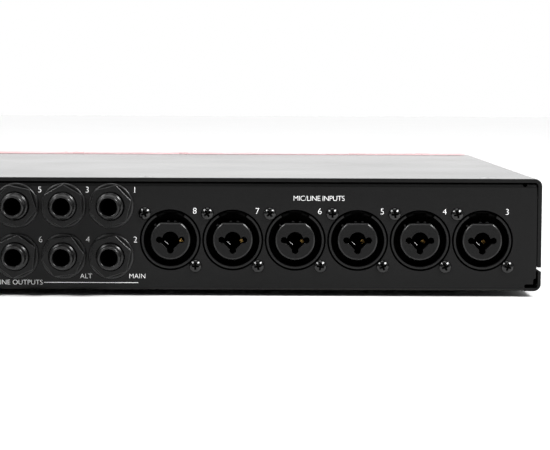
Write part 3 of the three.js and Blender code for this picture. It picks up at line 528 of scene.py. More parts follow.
def front_panel():
    def outline(inset):
        side = HALF_WIDTH - inset
        return rounded_box(-side, BASE_Z - 0.6 + inset, side, TOP_Z + 0.9 - inset, 7 - inset, 16)

    panel = loft([
        (FRONT_Y, outline(0.5)),
        (FRONT_Y + 0.15, outline(0.15)),
        (FRONT_Y + 0.5, outline(0)),
        (PANEL_BACK_Y - 0.85, outline(0)),
        (PANEL_BACK_Y, outline(0.85)),
    ])
    y0, y1 = FRONT_Y - 1, PANEL_BACK_Y + 1
    holes = [bar(MIC_HOLE, y0, y1, x, CONTROL_Z, steps=96) for x in FRONT_MIC_X]
    holes += [bar(3.6, y0, y1, x, CONTROL_Z) for x in GAIN_X]
    holes += [bar(4.6, y0, y1, MONITOR_X, CONTROL_Z)]
    holes += [bar(3.6, y0, y1, x, PHONES_KNOB_Z) for x in PHONES_X]
    holes += [bar(5.6, y0, y1, x, PHONES_JACK_Z) for x in PHONES_X]
    holes += [prism(centred(x, z, 3.9, 2.4, 0.5), y0, y1) for x, z in BUTTONS.values()]
    holes += [prism(centred(POWER_X, CONTROL_Z, 6.4, 10.4, 0.8), y0, y1)]
    holes += [prism(rounded_box(METER_X[0], METER_Z[0], METER_X[1], METER_Z[1], 0.8), y0, y1)]
    cut(panel, *holes)
    smoothed(softened(panel, 0.12, 2, 60))

    def on_rim(centre, normal):
        return abs(normal.y) < 0.98 and (abs(centre.x) > 212.6 or not 4 < centre.z < 45.5)

    return painted(panel, RED, (RED_EDGE, on_rim))


def foot(x, y):
    rim = [(6.8, 0), (7.3, 0.12), (7.9, 0.12), (8.2, 0.4), (8.75, 1.5), (9, 1.9), (9, 2.1)]
    return smoothed(lathe([(0, 0), *rim, (0, 2.1)], 64, (x, y), "Z"), 25)


keep(top_cover(), "cover_shell", PAINT, "case_paint", instead_of=["top_cover"])
keep(base_tray(), "tray_shell", PAINT, "case_paint", instead_of=["base_tray"])
keep(front_panel(), "panel_plate", RED, "panel_red", instead_of=["front_panel"])
for row, y in (("front", SHELL_FRONT_Y + 28), ("rear", REAR_Y - 28)):
    for side, x in (("left", -190), ("right", 190)):
        corner = f"foot_{row}_{side}"
        keep(foot(x, y), f"rubber_{corner}", RUBBER, "foot_rubber", instead_of=[corner])

# ---------- screws


def cross_recess(top, bottom, span, width):
    """The two tapered arms of a cross-headed screw's recess, for cutting."""
    def end(length, breadth, across):
        a, b = (breadth, length) if across else (length, breadth)
        return [(-a, -b), (a, -b), (a, b), (-a, b)]

    return joined(*[
        prism(end(span * 0.4, width * 0.42, across), bottom, top, "Y", end(span / 2, width / 2, across))
        for across in (False, True)
    ])


def pan_screw():
    """A pan-headed screw that stands on y = 0, its head 5.1 mm across."""
    dome = [(2.5, -0.3), (2.5, 0.2), (2.46, 0.5), (2.36, 0.72), (2.2, 0.9), (1.95, 1.08), (1.65, 1.27),
            (1.35, 1.45), (1.05, 1.6), (0.7, 1.7), (0, 1.76)]
    head = lathe([(0, -0.3), *dome], 64)
    cut(head, cross_recess(2.1, 0.2, 3.1, 0.85))
    smoothed(softened(head, 0.04, 2, 40), 40)

    def in_recess(centre, normal):
        reach = off_axis(centre)
        return reach < 1.62 and centre.y < min(1.6, 1.99 - 0.533 * reach)

    # The faces in the cross recess get a near-black painted shade.
    return painted(head, ZINC, (PAINTED_SHADE, in_recess))


def flat_screw():
    """A countersunk screw that faces along Y, the rim of its slightly domed head at y = 0."""
    head = lathe([(0, -1.9), (1.3, -1.9), (2.85, -0.25), (2.85, 0), (2.2, 0.07), (1.2, 0.11), (0, 0.12)])
    cut(head, cross_recess(0.6, -0.9, 2.9, 0.7))
    return smoothed(softened(head, 0.04, 2, 40), 40)


PAN_SCREW = pan_screw()
FLAT_SCREW = flat_screw()
for number, (x, y) in enumerate(COVER_SCREWS, 1):
    turn = math.degrees(chance.uniform(0, 1.5))
    keep(copied(FLAT_SCREW, (x, y, TOP_Z), (90, 0, turn)), f"cover_screw_{number}", *SCREW)

# ---------- microphone inputs

MIC_GROOVE = 10.4
MIC_DEPTH = 13
CORE_RADIUS = 7.75
CORE_FLAT = 6.65


def wedge(radius0, radius1, angle0, angle1, low, high):
    """Part of a ring between two angles, measured in degrees from straight up."""
    steps = max(6, round(abs(angle1 - angle0) / 4))
    inner = arc(0, 0, radius0, 90 - angle0, 90 - angle1, steps)
    outer = arc(0, 0, radius1, 90 - angle1, 90 - angle0, steps)
    return prism(inner + outer, low, high)


def core_outline(inset):
    """The core's section: a circle with a flat across its top, drawn in by the inset."""
    radius = CORE_RADIUS - inset
    angle = math.degrees(math.asin((CORE_FLAT - inset) / radius))
    return arc(0, 0, radius, 180 - angle, 360 + angle, 96)


def mic_shell(wall):
    """The socket's body behind the sheet, its round groove, and the core that holds the contacts."""
    seat = -wall - GAP
    body = prism(centred(0, 0, 12.15, 12.15, 1), seat - 28, seat)
    cut(body, bar(11.85, -7, 1, steps=96))
    joined(body, bar(11.25, -7.5, -0.02, steps=96))
    groove = [(10.9, -MIC_DEPTH), (10.9, -2.6), (MIC_GROOVE, -2.2), (MIC_GROOVE, 1)]
    cut(body, lathe([(0, -MIC_DEPTH), *groove, (0, 1)], 96), wedge(9.5, 11.7, -30, 30, -2.6, 1))
    for side in (-1, 1):
        joined(body, wedge(10.2, 10.95, side * 14, side * 27, -3.2, -1.6))
    softened(body, 0.08)
    sections = [(-MIC_DEPTH - 1, core_outline(0))]
    for depth, inset in [(0.5, 0), (0.37, 0.04), (0.29, 0.1), (0.04, 0.5), (0.01, 0.58), (0, 0.68)]:
        sections.append((-depth, core_outline(inset)))
    core = loft(sections)
    mouth = bar(3.3, -6.2, 1)
    joined(mouth, prism([(-4.87, 0), (0, -4.87), (4.87, 0)], -6.2, 1))
    joined(mouth, bar(1.3, -6.2, 1, -4.35, 0, steps=32), bar(1.3, -6.2, 1, 4.35, 0, steps=32))
    joined(mouth, bar(1.33, -6.2, 1, 0, -4.1, steps=32), bar(6.6, -15, -6, steps=64))
    cut(core, mouth)
    softened(core, 0.2, 3, 50)
    cut(body, bar(6.6, -27, -12.9, steps=64))
    nub = [(0, -MIC_DEPTH), (0.45, -MIC_DEPTH), (0.45, -0.6), (0.3, -0.35), (0, -0.35)]
    smoothed(merged(body, core, lathe(nub, 20, (5.95, 5.75))), 40)
    # Faces deeper than 1.45 mm, the groove and the cavity, get a painted shade, and the rounded edges on the
    # core's face a painted highlight.
    return painted(
        body,
        SOCKET,
        (PAINTED_SHADE, lambda centre, normal: centre.y < -1.45),
        (PAINTED_HIGHLIGHT, lambda centre, normal: centre.y > -0.7 and 0.15 < normal.y < 0.97 and centre.length < 10.2),
    )


def mic_rim():
    """The grey rim, open at the top where the latch sits."""
    rim = wedge(MIC_GROOVE + 0.02, 11.23, 30.5, 329.5, -2.4, 0)
    return smoothed(softened(rim, 0.22, 3), 40)


def mic_latch():
    """Two small catches above the core's flat."""
    catches = [block((x - 0.45, -2.2, 7.05), (x + 0.45, -0.5, 7.4)) for x in (0.8, -1.9)]
    return smoothed(softened(merged(*catches), 0.06))


def mic_contacts():
    """A contact leaf deep inside the socket, seen through its mouth."""
    leaf = moved(block((-0.65, -0.3, -0.8), (0.65, 0.3, 0.8)), (-3.16, -23.6, -2.34), (0, 36, 0))
    return smoothed(softened(leaf, 0.05))


def mic_spring():
    """A thin wire spring across the lower part of the bore."""
    wire = block((-0.9, -2.4, -0.09), (0.9, -1.8, 0.09))
    return smoothed(softened(moved(wire, (1.6, 0, -1.2), (0, -45, 0)), 0.04))


rear_shell, front_shell = mic_shell(TRAY_SHEET), mic_shell(3)
MIC_FITTINGS = {
    "rim": (mic_rim(), INSULATOR),
    "latch": (mic_latch(), INSULATOR),
    "contacts": (mic_contacts(), CONTACT),
    "spring": (mic_spring(), PLATED),
}
SCREW_OFFSETS = [(9.95, 10.35), (-9.85, -10.2)]
places = [(x, FRONT_Y, CONTROL_Z, 180) for x in FRONT_MIC_X] + [(x, REAR_Y, MIC_Z, 0) for x in MIC_X]
for number, (x, y, z, turn) in enumerate(places, 1):
    shell = front_shell if turn else rear_shell
    face = (0, 0, turn)
    keep(copied(shell, (x, y, z), face), f"mic_socket_{number}", *PLASTIC, instead_of=[f"mic_input_{number}"])
    for kind, (fitting, look) in MIC_FITTINGS.items():
        keep(copied(fitting, (x, y, z), face), f"mic_{kind}_{number}", *look)
    for place, (across, up) in enumerate(SCREW_OFFSETS, 1):
        sign = -1 if turn else 1
        screw = copied(PAN_SCREW, (x + sign * across, y, z + up), (0, chance.uniform(0, 90), turn))
        keep(screw, f"mic_screw_{number}_{place}", *SCREW)

# ---------- line outputs


def line_bushing():
    """A bushing threaded below and above its shoulder, round a jack's bore; its wall face is at y = 0."""
    pitch, depth, fade_length = 0.75, 0.26, 0.4
    lower, upper = 5.3, 4.55
    threads = {lower: (-1.5, 4.7), upper: (5.5, 9.2)}

    def rows(radius):
        low, high = threads[radius]
        steps = round((high - low) / pitch * 6)
        return [(radius, low + (high - low) * i / steps) for i in range(steps + 1)]

    def thread(radius, height, turn):
        if radius not in threads:
            return radius
        low, high = threads[radius]
        phase = (height / pitch - turn / (2 * math.pi)) % 1
        fade = max(0, min(1, (high - height) / fade_length, (height - low) / fade_length))
        return radius - depth * fade * abs(2 * phase - 1)

    shoulder = [(5.24, 4.95), (5.05, 5.15), (4.75, 5.25)]
    lip = [(4.45, 9.38), (4.25, 9.62), (4.0, 9.77), (3.8, 9.81), (3.62, 9.73), (3.47, 9.55), (3.4, 9.4)]
    bore = [(3.4, -9), (3.9, -9.1), (3.9, -13), (3.2, -14), (3.2, -22), (0, -22)]
    back = [(0, -22.6), (4.1, -22.6), (4.1, -2.5)]
    return lathe([*back, *rows(lower), *shoulder, *rows(upper), *lip, *bore], 72, radius_at=thread)


def line_body():
    low = BASE_Z + 4.6 + 1.6 + GAP - MIDDLE_Z
    high = WALL_TOP_Z - TRAY_SHEET - 1 - MIDDLE_Z
    body = prism(rounded_box(-8, low, 8, high, 0.6), -27.5, -1.5)
    for z in LINE_Z:
        cut(body, bar(4.2, -23, 0, 0, z - MIDDLE_Z))
    return softened(body, 0.2)


def line_nut():
    """A chamfered hexagon nut."""
    corner = 14.9 / 2 / math.cos(math.pi / 6)
    hexagon = softened(prism(arc(0, 0, corner, 90, 450, 6)[:-1], GAP + 1, 4.2), 0.4, 4, 20)
    cut(hexagon, lathe([(0, 0), (5.38, 0), (5.38, 3.85), (5.75, 4.3), (0, 4.3)], 64))
    smoothed(hexagon, 50)

    # The nut's sides get a painted shade and its chamfered edges a painted highlight.
    return painted(
        hexagon,
        NUT,
        (PAINTED_SHADE, lambda centre, normal: off_axis(centre) > 6.6 and abs(normal.y) < 0.2),
        (PAINTED_HIGHLIGHT, lambda centre, normal: off_axis(centre) > 6.6 and normal.y < 0.97),
    )


def line_washer():
    rim = [(8.6, 0), (8.8, 0.15), (8.86, 0.4), (8.76, 0.68), (8.5, 0.9), (8.2, 1)]
    profile = [(radius, GAP + height) for radius, height in [(5.6, 0), *rim, (5.6, 1)]]
    washer = smoothed(lathe(profile, 96, looped=True), 40)
    # The washer's rounded rim gets a painted highlight.
    return painted(washer, NUT, (PAINTED_HIGHLIGHT, lambda centre, normal: 0.15 < normal.y < 0.97))


NUT_TURNS = [-15.5, -12.7, 0, -24, 18, -6, 11, -20, 27, 4]
BUSHING_LEANS = [2.2, 1, 0, 0.5, 2.2, 1, 0.6, 0, 1.2, 0.4]
bushing, body = smoothed(line_bushing(), 45), smoothed(line_body(), 45)
# The inside of the bushing's bore, below its lip, gets a near-black painted shade.
painted(bushing, BUSHING, (PAINTED_SHADE, lambda centre, normal: centre.y < 9.3 and off_axis(centre) < 3.95))
nut, washer = line_nut(), line_washer()
for column, x in enumerate(LINE_X):
    first = 2 * column + 1
    label = f"{first}_{first + 1}"
    pair = copied(body, (x, REAR_Y, MIDDLE_Z))
    keep(pair, f"line_jacks_{label}", NUT, "socket_black", instead_of=[f"line_jack_pair_{label}"])
    for row, z in enumerate(LINE_Z):
        number = first + row
        leaning = copied(bushing, (x, REAR_Y, z), (0, 0, -BUSHING_LEANS[number - 1]))
        keep(leaning, f"line_bushing_{number}", BUSHING, "socket_black")
        turned_nut = copied(nut, (x, REAR_Y, z), (0, NUT_TURNS[number - 1], 0))
        keep(turned_nut, f"hex_nut_{number}", NUT, "nut_black", instead_of=[f"line_nut_{number}"])
        keep(copied(washer, (x, REAR_Y, z)), f"line_washer_{number}", NUT, "nut_black")
fittings = [fitting for fitting, look in MIC_FITTINGS.values()]
for source in (rear_shell, front_shell, *fittings, body, bushing, nut, washer):
    bpy.data.objects.remove(source)

# ---------- other rear sockets

SEAT_Y = REAR_Y - TRAY_SHEET - GAP
BOARD_CLEAR_Z = BASE_Z + 6.5
BACK = -1.48
OPTICAL_DEPTH = 13.4
INLET_SCREW_X = (INLET_X - 20, INLET_X + 20)


def tube(inner, outer, low, high, a=0, b=0, axis="Y", steps=48, chamfer=0.12):
    """A ring swept along an axis, with both ends chamfered."""
    profile = [(inner, low), (outer - chamfer, low), (outer, low + chamfer), (outer, high - chamfer),
               (outer - chamfer, high), (inner + chamfer, high), (inner, high - chamfer)]
    return lathe(profile, steps, (a, b), axis, looped=True)


def at_wall(profile, steps, centre, looped=False):
    """A turned solid with its heights measured from the rear wall's face."""
    return lathe([(radius, REAR_Y + height) for radius, height in profile], steps, centre, looped=looped)


def shaded(*groups):
    """Each solid or list of solids as one smoothed piece."""
    return [smoothed(merged(group), 35) for group in groups]


def box_body(x, half_width, depth, top):
    """A socket's plastic body, between the main board and a height, seated behind the wall."""
    outline = rounded_box(x - half_width, BOARD_CLEAR_Z, x + half_width, top, 0.5)
    return prism(outline, SEAT_Y - depth, SEAT_Y)


def midi_sockets():
    """Two five-pin round sockets with one body. Returns the body, the shields and the contacts."""
    face = REAR_Y - 0.2
    body = box_body(sum(MIDI_X) / 2, 21, 16, MIDDLE_Z + 10)
    shields, contacts = [], []
    for x in MIDI_X:
        joined(body, bar(7.5, SEAT_Y - 1, face, x, MIDDLE_Z, steps=72))
        groove = [(6.0, face - 7), (6.8, face - 7), (6.8, face + 1), (6.0, face + 1)]
        cut(body, lathe(groove, 64, (x, MIDDLE_Z), looped=True))
        for pin in arc(x, MIDDLE_Z, 4.4, 0, -180, 4):
            cut(body, bar(0.9, face - 9, face + 1, *pin, steps=20))
            contacts.append(tube(0.5, 0.82, face - 8.5, face - 1.2, *pin, steps=16, chamfer=0.06))
        cut(body, block((x - 1.3, face - 7, MIDDLE_Z + 5.2), (x + 1.3, face + 1, MIDDLE_Z + 8.2)))
        shield = tube(6.15, 6.65, face - 6.8, face - 0.4, x, MIDDLE_Z, steps=64)
        notch = block((x - 1.5, face - 8, MIDDLE_Z + 5), (x + 1.5, face + 1, MIDDLE_Z + 8))
        shields.append(cut(shield, notch))
    return shaded(softened(body, 0.12), shields, contacts)


def coax_jacks():
    """Two stacked phono jacks. Returns the body, the barrels, the insulators and the contacts."""
    body = softened(box_body(COAX_X, 6.5, 12, STACK_Z[0] + 6), 0.2)
    barrel = [(3.35, BACK), (4.55, BACK), (4.55, 0.5), (4.4, 0.65), (4.15, 0.65), (4.15, 8.1), (3.85, 8.5),
              (3.5, 8.5), (3.35, 8.3)]
    lining = [(0, BACK), (3.32, BACK), (3.32, 7.9), (3.2, 8.05), (1.9, 8.05), (1.7, 7.8), (1.7, -1), (0, -1)]
    barrels, insulators, contacts = [], [], []
    for z in STACK_Z:
        barrels.append(at_wall(barrel, 56, (COAX_X, z), looped=True))
        insulators.append(at_wall(lining, 48, (COAX_X, z)))
        contacts.append(tube(1.25, 1.66, REAR_Y - 0.9, REAR_Y + 7.3, COAX_X, z, steps=32))
    return shaded(body, barrels, insulators, contacts)


def optical_sockets():
    """Two stacked square sockets and the lenses at the back of them."""
    body = box_body(OPTICAL_X, 7, 15, STACK_Z[0] + 7)
    x0, x1 = OPTICAL_X - 4.9, OPTICAL_X + 4.9
    lens = [(0, -OPTICAL_DEPTH), (1.5, -OPTICAL_DEPTH), (1.5, -12), (1.1, -11.6), (0.6, -11.4), (0, -11.35)]
    lenses = []
    for z in STACK_Z:
        joined(body, block((OPTICAL_X - 5.8, SEAT_Y - 1, z - 5.7), (OPTICAL_X + 5.8, REAR_Y, z + 5.7)))
        cut(body, block((x0, REAR_Y - OPTICAL_DEPTH, z - 4.2), (x1, REAR_Y + 1, z + 4.2)))
        lenses.append(at_wall(lens, 32, (OPTICAL_X, z)))
    return shaded(softened(body, 0.18), lenses)


def optical_flap():
    """An optical socket's sprung flap, hanging from its pin; z = 0 is just above the pin."""
    flap = prism(rounded_box(-4.6, -7.8, 4.6, -0.2, 0.5), -4.2, -3.68)
    joined(flap, prism(rounded_box(-3.6, -6.9, 3.6, -1.5, 0.7), -3.8, -3.5))
    joined(flap, bar(0.45, -4.6, 4.6, -3.85, -0.45, "X", 20))
    return smoothed(softened(flap, 0.06), 35)


def word_clock():
    """A bayonet socket. Returns its body, its metal parts, its insulator and its contact."""
    body = softened(box_body(WORD_CLOCK_X, 7, 14, MIDDLE_Z + 7), 0.2)
    at = (WORD_CLOCK_X, MIDDLE_Z)
    profile = [(0, BACK), (4.8, BACK), (4.8, 8.7), (4.5, 9), (4.05, 9), (3.9, 8.8), (3.9, 0.5), (0, 0.5)]
    barrel = at_wall(profile, 64, at)
    nut = prism(circle(*at, 6.2, 6), SEAT_Y + 0.1, REAR_Y + 2.4)
    crown = at_wall([(0, -1.5), (6.4, -1.5), (6.4, 1.9), (5.5, 2.5), (0, 2.5)], 64, at)
    combine(nut, crown, "INTERSECT")
    joined(barrel, cut(nut, bar(4.2, SEAT_Y - 1, REAR_Y + 4, *at)))
    for x in (WORD_CLOCK_X - 5.7, WORD_CLOCK_X + 4.2):
        joined(barrel, bar(0.9, x, x + 1.5, REAR_Y + 5.5, MIDDLE_Z, "X", 24))
    insulator = at_wall([(0, 0.52), (2.4, 0.52), (2.4, 5.8), (2.2, 6), (0, 6)], 40, at)
    cut(insulator, bar(1, REAR_Y + 2, REAR_Y + 7, *at, steps=24))
    contact = tube(0.6, 0.95, REAR_Y + 2.1, REAR_Y + 5.9, *at, steps=24, chamfer=0.06)
    return shaded(body, softened(barrel, 0.1), insulator, contact)


def usb_shell():
    shell = prism(centred(USB_X, MIDDLE_Z, 5, 2.1, 1.9), SEAT_Y - 9, REAR_Y - 0.2)
    cut(shell, prism(centred(USB_X, MIDDLE_Z, 4.5, 1.6, 1.5), REAR_Y - 6.5, REAR_Y + 1))
    for x in (USB_X - 4.4, USB_X + 3.4):
        joined(shell, block((x, SEAT_Y - 7, BOARD_CLEAR_Z), (x + 1, SEAT_Y - 5, MIDDLE_Z - 1.8)))
    return smoothed(softened(shell, 0.08), 35)


def usb_tongue():
    """The socket's tongue and its two rows of contacts."""
    tongue = block((USB_X - 3.3, REAR_Y - 7, MIDDLE_Z - 0.38), (USB_X + 3.3, REAR_Y - 1, MIDDLE_Z + 0.38))
    rows = []
    for i in range(12):
        x = USB_X - 2.75 + 0.5 * i
        rows.append(block((x - 0.13, REAR_Y - 6, MIDDLE_Z - 0.41), (x + 0.13, REAR_Y - 1.4, MIDDLE_Z + 0.41)))
    return softened(tongue, 0.1), merged(rows)


def mains_inlet():
    """The inlet's flange, body and cavity, and its three blades."""
    def about_inlet(points):
        return [(INLET_X + x, MIDDLE_Z + z) for x, z in points]

    flange = [(24, -5), (24, 5), (12, 11.2), (-12, 11.2), (-24, 5), (-24, -5), (-12, -11.2), (12, -11.2)]
    inlet = softened(prism(about_inlet(flange), REAR_Y + GAP, REAR_Y + 3), 0.5, 3)
    joined(inlet, prism(centred(INLET_X, MIDDLE_Z, 13.9, 10.4, 0.8), REAR_Y - 20, REAR_Y + 1))
    cavity = [(-12, -8.5), (12, -8.5), (12, 4.5), (8, 8.5), (-8, 8.5), (-12, 4.5)]
    cut(inlet, prism(about_inlet(cavity), REAR_Y - 16, REAR_Y + 4))
    cut(inlet, *[bar(1.7, REAR_Y - 1, REAR_Y + 4, x, MIDDLE_Z, steps=32) for x in INLET_SCREW_X])
    blades = []
    for x, z in about_inlet([(-7, -2.5), (7, -2.5), (0, 2.5)]):
        blades.append(softened(block((x - 1, REAR_Y - 15.9, z - 2), (x + 1, REAR_Y - 3, z + 2)), 0.4))
    return shaded(softened(inlet, 0.2), blades)


def keep_all(node, items, looks):
    """The pieces that stand for one CAD node, each with its name and finish."""
    for item, (name, look) in zip(items, looks.items()):
        keep(item, name, *look, instead_of=[node] if item is items[0] else [])


keep_all("midi_socket_pair", midi_sockets(),
         {"midi_sockets": PLASTIC, "midi_shields": PLATED, "midi_contacts": CONTACT})
keep_all("coax_pair", coax_jacks(),
         {"coax_body": PLASTIC, "coax_barrels": PLATED, "coax_insulators": INSULATOR, "coax_contacts": CONTACT})
keep_all("optical_pair", optical_sockets(), {"optical_sockets": PLASTIC, "optical_lenses": CLEAR})
for number, z in enumerate(STACK_Z, 1):
    flap = moved(optical_flap(), (OPTICAL_X, REAR_Y, z + 4.05))
    shutter = f"optical_shutter_{number}"
    keep(flap, f"optical_flap_{number}", *KEY, shutter, [shutter])
keep_all("word_clock_socket", word_clock(),
         {"word_clock_body": PLASTIC, "word_clock_barrel": PLATED, "word_clock_insulator": WHITE,
          "word_clock_contact": CONTACT})
keep_all("usb_socket", (usb_shell(), *usb_tongue()),
         {"usb_shell": PLATED, "usb_tongue": PLASTIC, "usb_contacts": CONTACT})
keep_all("mains_inlet", mains_inlet(), {"inlet_body": PLASTIC, "inlet_blades": PLATED})
for number, x in enumerate(INLET_SCREW_X, 1):
    screw = copied(PAN_SCREW, (x, REAR_Y + 3, MIDDLE_Z), (0, chance.uniform(0, 90), 0))
    keep(screw, f"inlet_screw_{number}", *SCREW)

# ---------- front controls


def knob(radius, reach, shaft, flutes):
    """A fluted knob with its shaft on Y and its skirt just clear of y = 0, grooved for its pointer."""
    taper, tip, base = 0.93 * radius, 0.86 * radius, -2.4
    skirt = [(radius - 0.15, -0.6), (radius, -0.75), (radius, base), (radius - 0.2, base - 0.2)]
    grip = [(taper + (0.99 * radius - taper) * (1 - t), base - 0.3 + (1.3 - reach - base) * t)
            for t in (0, 0.02, 0.5, 0.97, 1)]
    face = [(tip, 0.15 - reach), (tip - 0.3, -reach), (0.72 * radius, -reach), (0.66 * radius, 0.25 - reach)]
    profile = [(0, 9), (shaft, 9), (shaft, -0.6), *skirt, *grip, *face, (0, 0.25 - reach)]

    def fluted(r, height, turn):
        if not 1.05 - reach < height < base - 0.35:
            return r
        return r - 0.03 * radius * abs(math.cos(flutes * turn / 2)) ** 3

    body = lathe(profile, flutes * 6, radius_at=fluted)
    cut(body, block((-0.5, -reach - 1, radius * 0.3), (0.5, 0.5 - reach, radius + 1)))
    sunk = 0.1 if radius < 8 else 0.3
    mark = block((-0.44, sunk - reach, radius * 0.32), (0.44, 0.52 - reach, tip - 0.15))
    return smoothed(body, 38), softened(mark, 0.05)


def push_button():
    cap = prism(centred(0, 0, 3.5, 2, 0.5), -3, 4)
    joined(cap, block((-1.5, 3.5, -1.5), (1.5, 9.5, 1.5)))
    softened(cap, 0.22, 3)
    cut(cap, prism(rounded_box(-2.2, 0.55, 2.2, 1.15, 0.28), -3.5, -2.7))
    return smoothed(cap, 35), softened(prism(rounded_box(-2.15, 0.6, 2.15, 1.1, 0.24), -2.96, -2.68), 0.04)


def rocker():
    """The power rocker about its pivot, with a bar raised on its upper face and a ring on its lower one."""
    outline = [(-4.4, 0), (-5.6, -8.8), (1, -7.6), (4.5, -4), (4.5, 4), (1, 7.6), (-5.6, 8.8)]
    body = smoothed(softened(prism(outline, -5.9, 5.9, "X"), 0.35, 3, 12), 40)
    lean = math.degrees(math.atan2(1.2, 8.8))
    on = moved(block((-0.3, -0.04, -1.8), (0.3, 0.1, 1.8)), (0, -5.03, 4.6), (lean, 0, 0))
    ring = lathe([(1.2, -0.04), (1.8, -0.04), (1.8, 0.1), (1.2, 0.1)], 32, looped=True)
    off = moved(ring, (0, -5.03, -4.6), (-lean, 0, 0))
    return body, merged(on, off)


def phones_jacks():
    x0, x1 = PHONES_X
    seat, nose = SHELL_FRONT_Y, FRONT_Y - 1.5
    body = prism(rounded_box(x0 - 9, BASE_Z + 6.5, x1 + 9, PHONES_JACK_Z + 7, 0.6), seat, seat + 25)
    ring = [(0, seat + 1), (5.2, seat + 1), (5.2, nose + 0.4), (4.8, nose), (0, nose)]
    for x in PHONES_X:
        joined(body, lathe(ring, 64, (x, PHONES_JACK_Z)))
        cut(body, bar(3.5, FRONT_Y - 3, seat + 22, x, PHONES_JACK_Z))
    return smoothed(softened(body, 0.15), 35)


def meter_pane():
    (x0, x1), (z0, z1) = METER_X, METER_Z
    pane = prism(rounded_box(x0 + 0.4, z0 + 0.4, x1 - 0.4, z1 - 0.4, 0.6), FRONT_Y + 0.2, SHELL_FRONT_Y + 0.5)
    joined(pane, block((x0 - 1.6, SHELL_FRONT_Y, z0 - 1.6), (x1 + 1.6, SHELL_FRONT_Y + 1, z1 + 1.6)))
    return smoothed(softened(pane, 0.15), 35)


def meter_segments(rows):
    """The given rows of segments for eight input columns and two output columns."""
    left, low = METER_X[0] + 5, METER_Z[0] + 4
    columns = [left + 4.6 * i for i in range(8)] + [left + 41, left + 45.6]
    segments = []
    for x in columns:
        for z in [low + 1.4 * row for row in rows]:
            segments.append(block((x, FRONT_Y + 0.17, z), (x + 3.2, FRONT_Y + 0.3, z + 0.9)))
    return merged(segments)


KNOBS = {
    **{f"gain_knob_{i}": (x, CONTROL_Z) for i, x in enumerate(GAIN_X, 1)},
    **{f"phones_knob_{i}": (x, PHONES_KNOB_Z) for i, x in enumerate(PHONES_X, 1)},
}
small_knob, small_mark = knob(5.6, 12, 3, 18)
for name, (x, z) in KNOBS.items():
    keep(copied(small_knob, (x, FRONT_Y, z)), f"{name}_cap", *KEY, name, [name])
    keep(copied(small_mark, (x, FRONT_Y, z)), f"{name}_pointer", *WHITE, name)
big_knob, big_mark = knob(12.5, 14, 4, 40)
monitor = (MONITOR_X, FRONT_Y, CONTROL_Z)
keep(moved(big_knob, monitor), "monitor_knob_cap", *KEY, "monitor_knob", ["monitor_knob"])
keep(moved(big_mark, monitor), "monitor_knob_pointer", *WHITE, "monitor_knob")
button, window = push_button()
for name, (x, z) in BUTTONS.items():
    keep(copied(button, (x, FRONT_Y, z)), f"{name}_cap", *KEY, name, [name])
    keep(copied(window, (x, FRONT_Y, z)), f"{name}_window", *CLEAR, name)
rocker_body, rocker_marks = rocker()
pivot = (POWER_X, FRONT_Y + 4, CONTROL_Z)
keep(moved(rocker_body, pivot, (10, 0, 0)), "rocker_body", *PLASTIC, "power_rocker", ["power_rocker"])
keep(moved(rocker_marks, pivot, (10, 0, 0)), "rocker_marks", *WHITE, "power_rocker")
keep(phones_jacks(), "phones_jacks", *PLASTIC, instead_of=["phones_jack_pair"])
keep(meter_pane(), "meter_pane", SMOKE, "window_smoke", instead_of=["meter_window"])
METER_LIGHTS = {"low": (range(8), GREEN_LIGHT), "high": ([8, 9], AMBER_LIGHT), "peak": ([10], RED_LIGHT)}
for name, (rows, finish) in METER_LIGHTS.items():
    keep(meter_segments(rows), f"meter_segments_{name}", finish, "lens_clear")
for source in (small_knob, small_mark, button, window, PAN_SCREW, FLAT_SCREW):
    bpy.data.objects.remove(source)

# ---------- inside the case

for name, finish in (("main_board", BOARD), ("front_board", BOARD), ("power_supply_board", BOARD),
                     ("power_transformer", COMPONENT)):
    for slot in bpy.data.objects[name].material_slots:
        slot.material = finish

# ---------- legends

REAR_FACING = Matrix(((-1, 0, 0), (0, 0, 1), (0, 1, 0)))
FRONT_FACING = Matrix(((1, 0, 0), (0, 0, -1), (0, 1, 0)))
INK_HEIGHT = 0.03
TEXT_EXTRUDE = 0.01


def written(text, height, spread=1.0):
    """Lettering as a thin solid in the XY plane, centred, its capitals as high as given, in mm."""
    curve = bpy.data.curves.new("text", "FONT")
    curve.body = text
    curve.space_character = spread
    curve.align_x = "CENTER"
    curve.extrude = TEXT_EXTRUDE
    curve.offset = -0.018
    curve.resolution_u = 6
    item = bpy.data.objects.new("text", curve)
    bpy.context.scene.collection.objects.link(item)
    bpy.context.view_layer.update()
    mesh = bpy.data.meshes.new_from_object(item.evaluated_get(bpy.context.evaluated_depsgraph_get()))
    bpy.data.objects.remove(item)
    scale = height / CAPITAL * MM
    mesh.transform(Matrix.Diagonal((scale, scale, INK_HEIGHT * MM / (2 * TEXT_EXTRUDE), 1)))
    mesh.transform(Matrix.Translation((0, -height / 2 * MM, INK_HEIGHT / 2 * MM)))
    return mesh


def lettering(name, facing, face_y, lines, strokes):
    """One face's legends as one piece. A line is (text, x, z, height) and perhaps its letters' spread, and a
    stroke is (x0, z0, x1, z1)."""
    whole = bmesh.new()
    for text, x, z, height, *spread in lines:
        mesh = written(text, height, *spread)
        mesh.transform(Matrix.Translation((x * MM, face_y * MM, z * MM)) @ facing.to_4x4())
        whole.from_mesh(mesh)
    outward = 1 if face_y > 0 else -1
    for x0, z0, x1, z1 in strokes:
        line = block((x0, face_y, z0), (x1, face_y + outward * INK_HEIGHT, z1))
        whole.from_mesh(line.data)
        bpy.data.objects.remove(line)
    item = bpy.data.objects.new(name, bpy.data.meshes.new(name))
    whole.to_mesh(item.data)
    whole.free()
    bpy.context.scene.collection.objects.link(item)
    keep(item, name, *WHITE)


CAPITAL = 1
capital_heights = [v.co.y / MM for v in written("H", 1).vertices]
CAPITAL = max(capital_heights) - min(capital_heights)

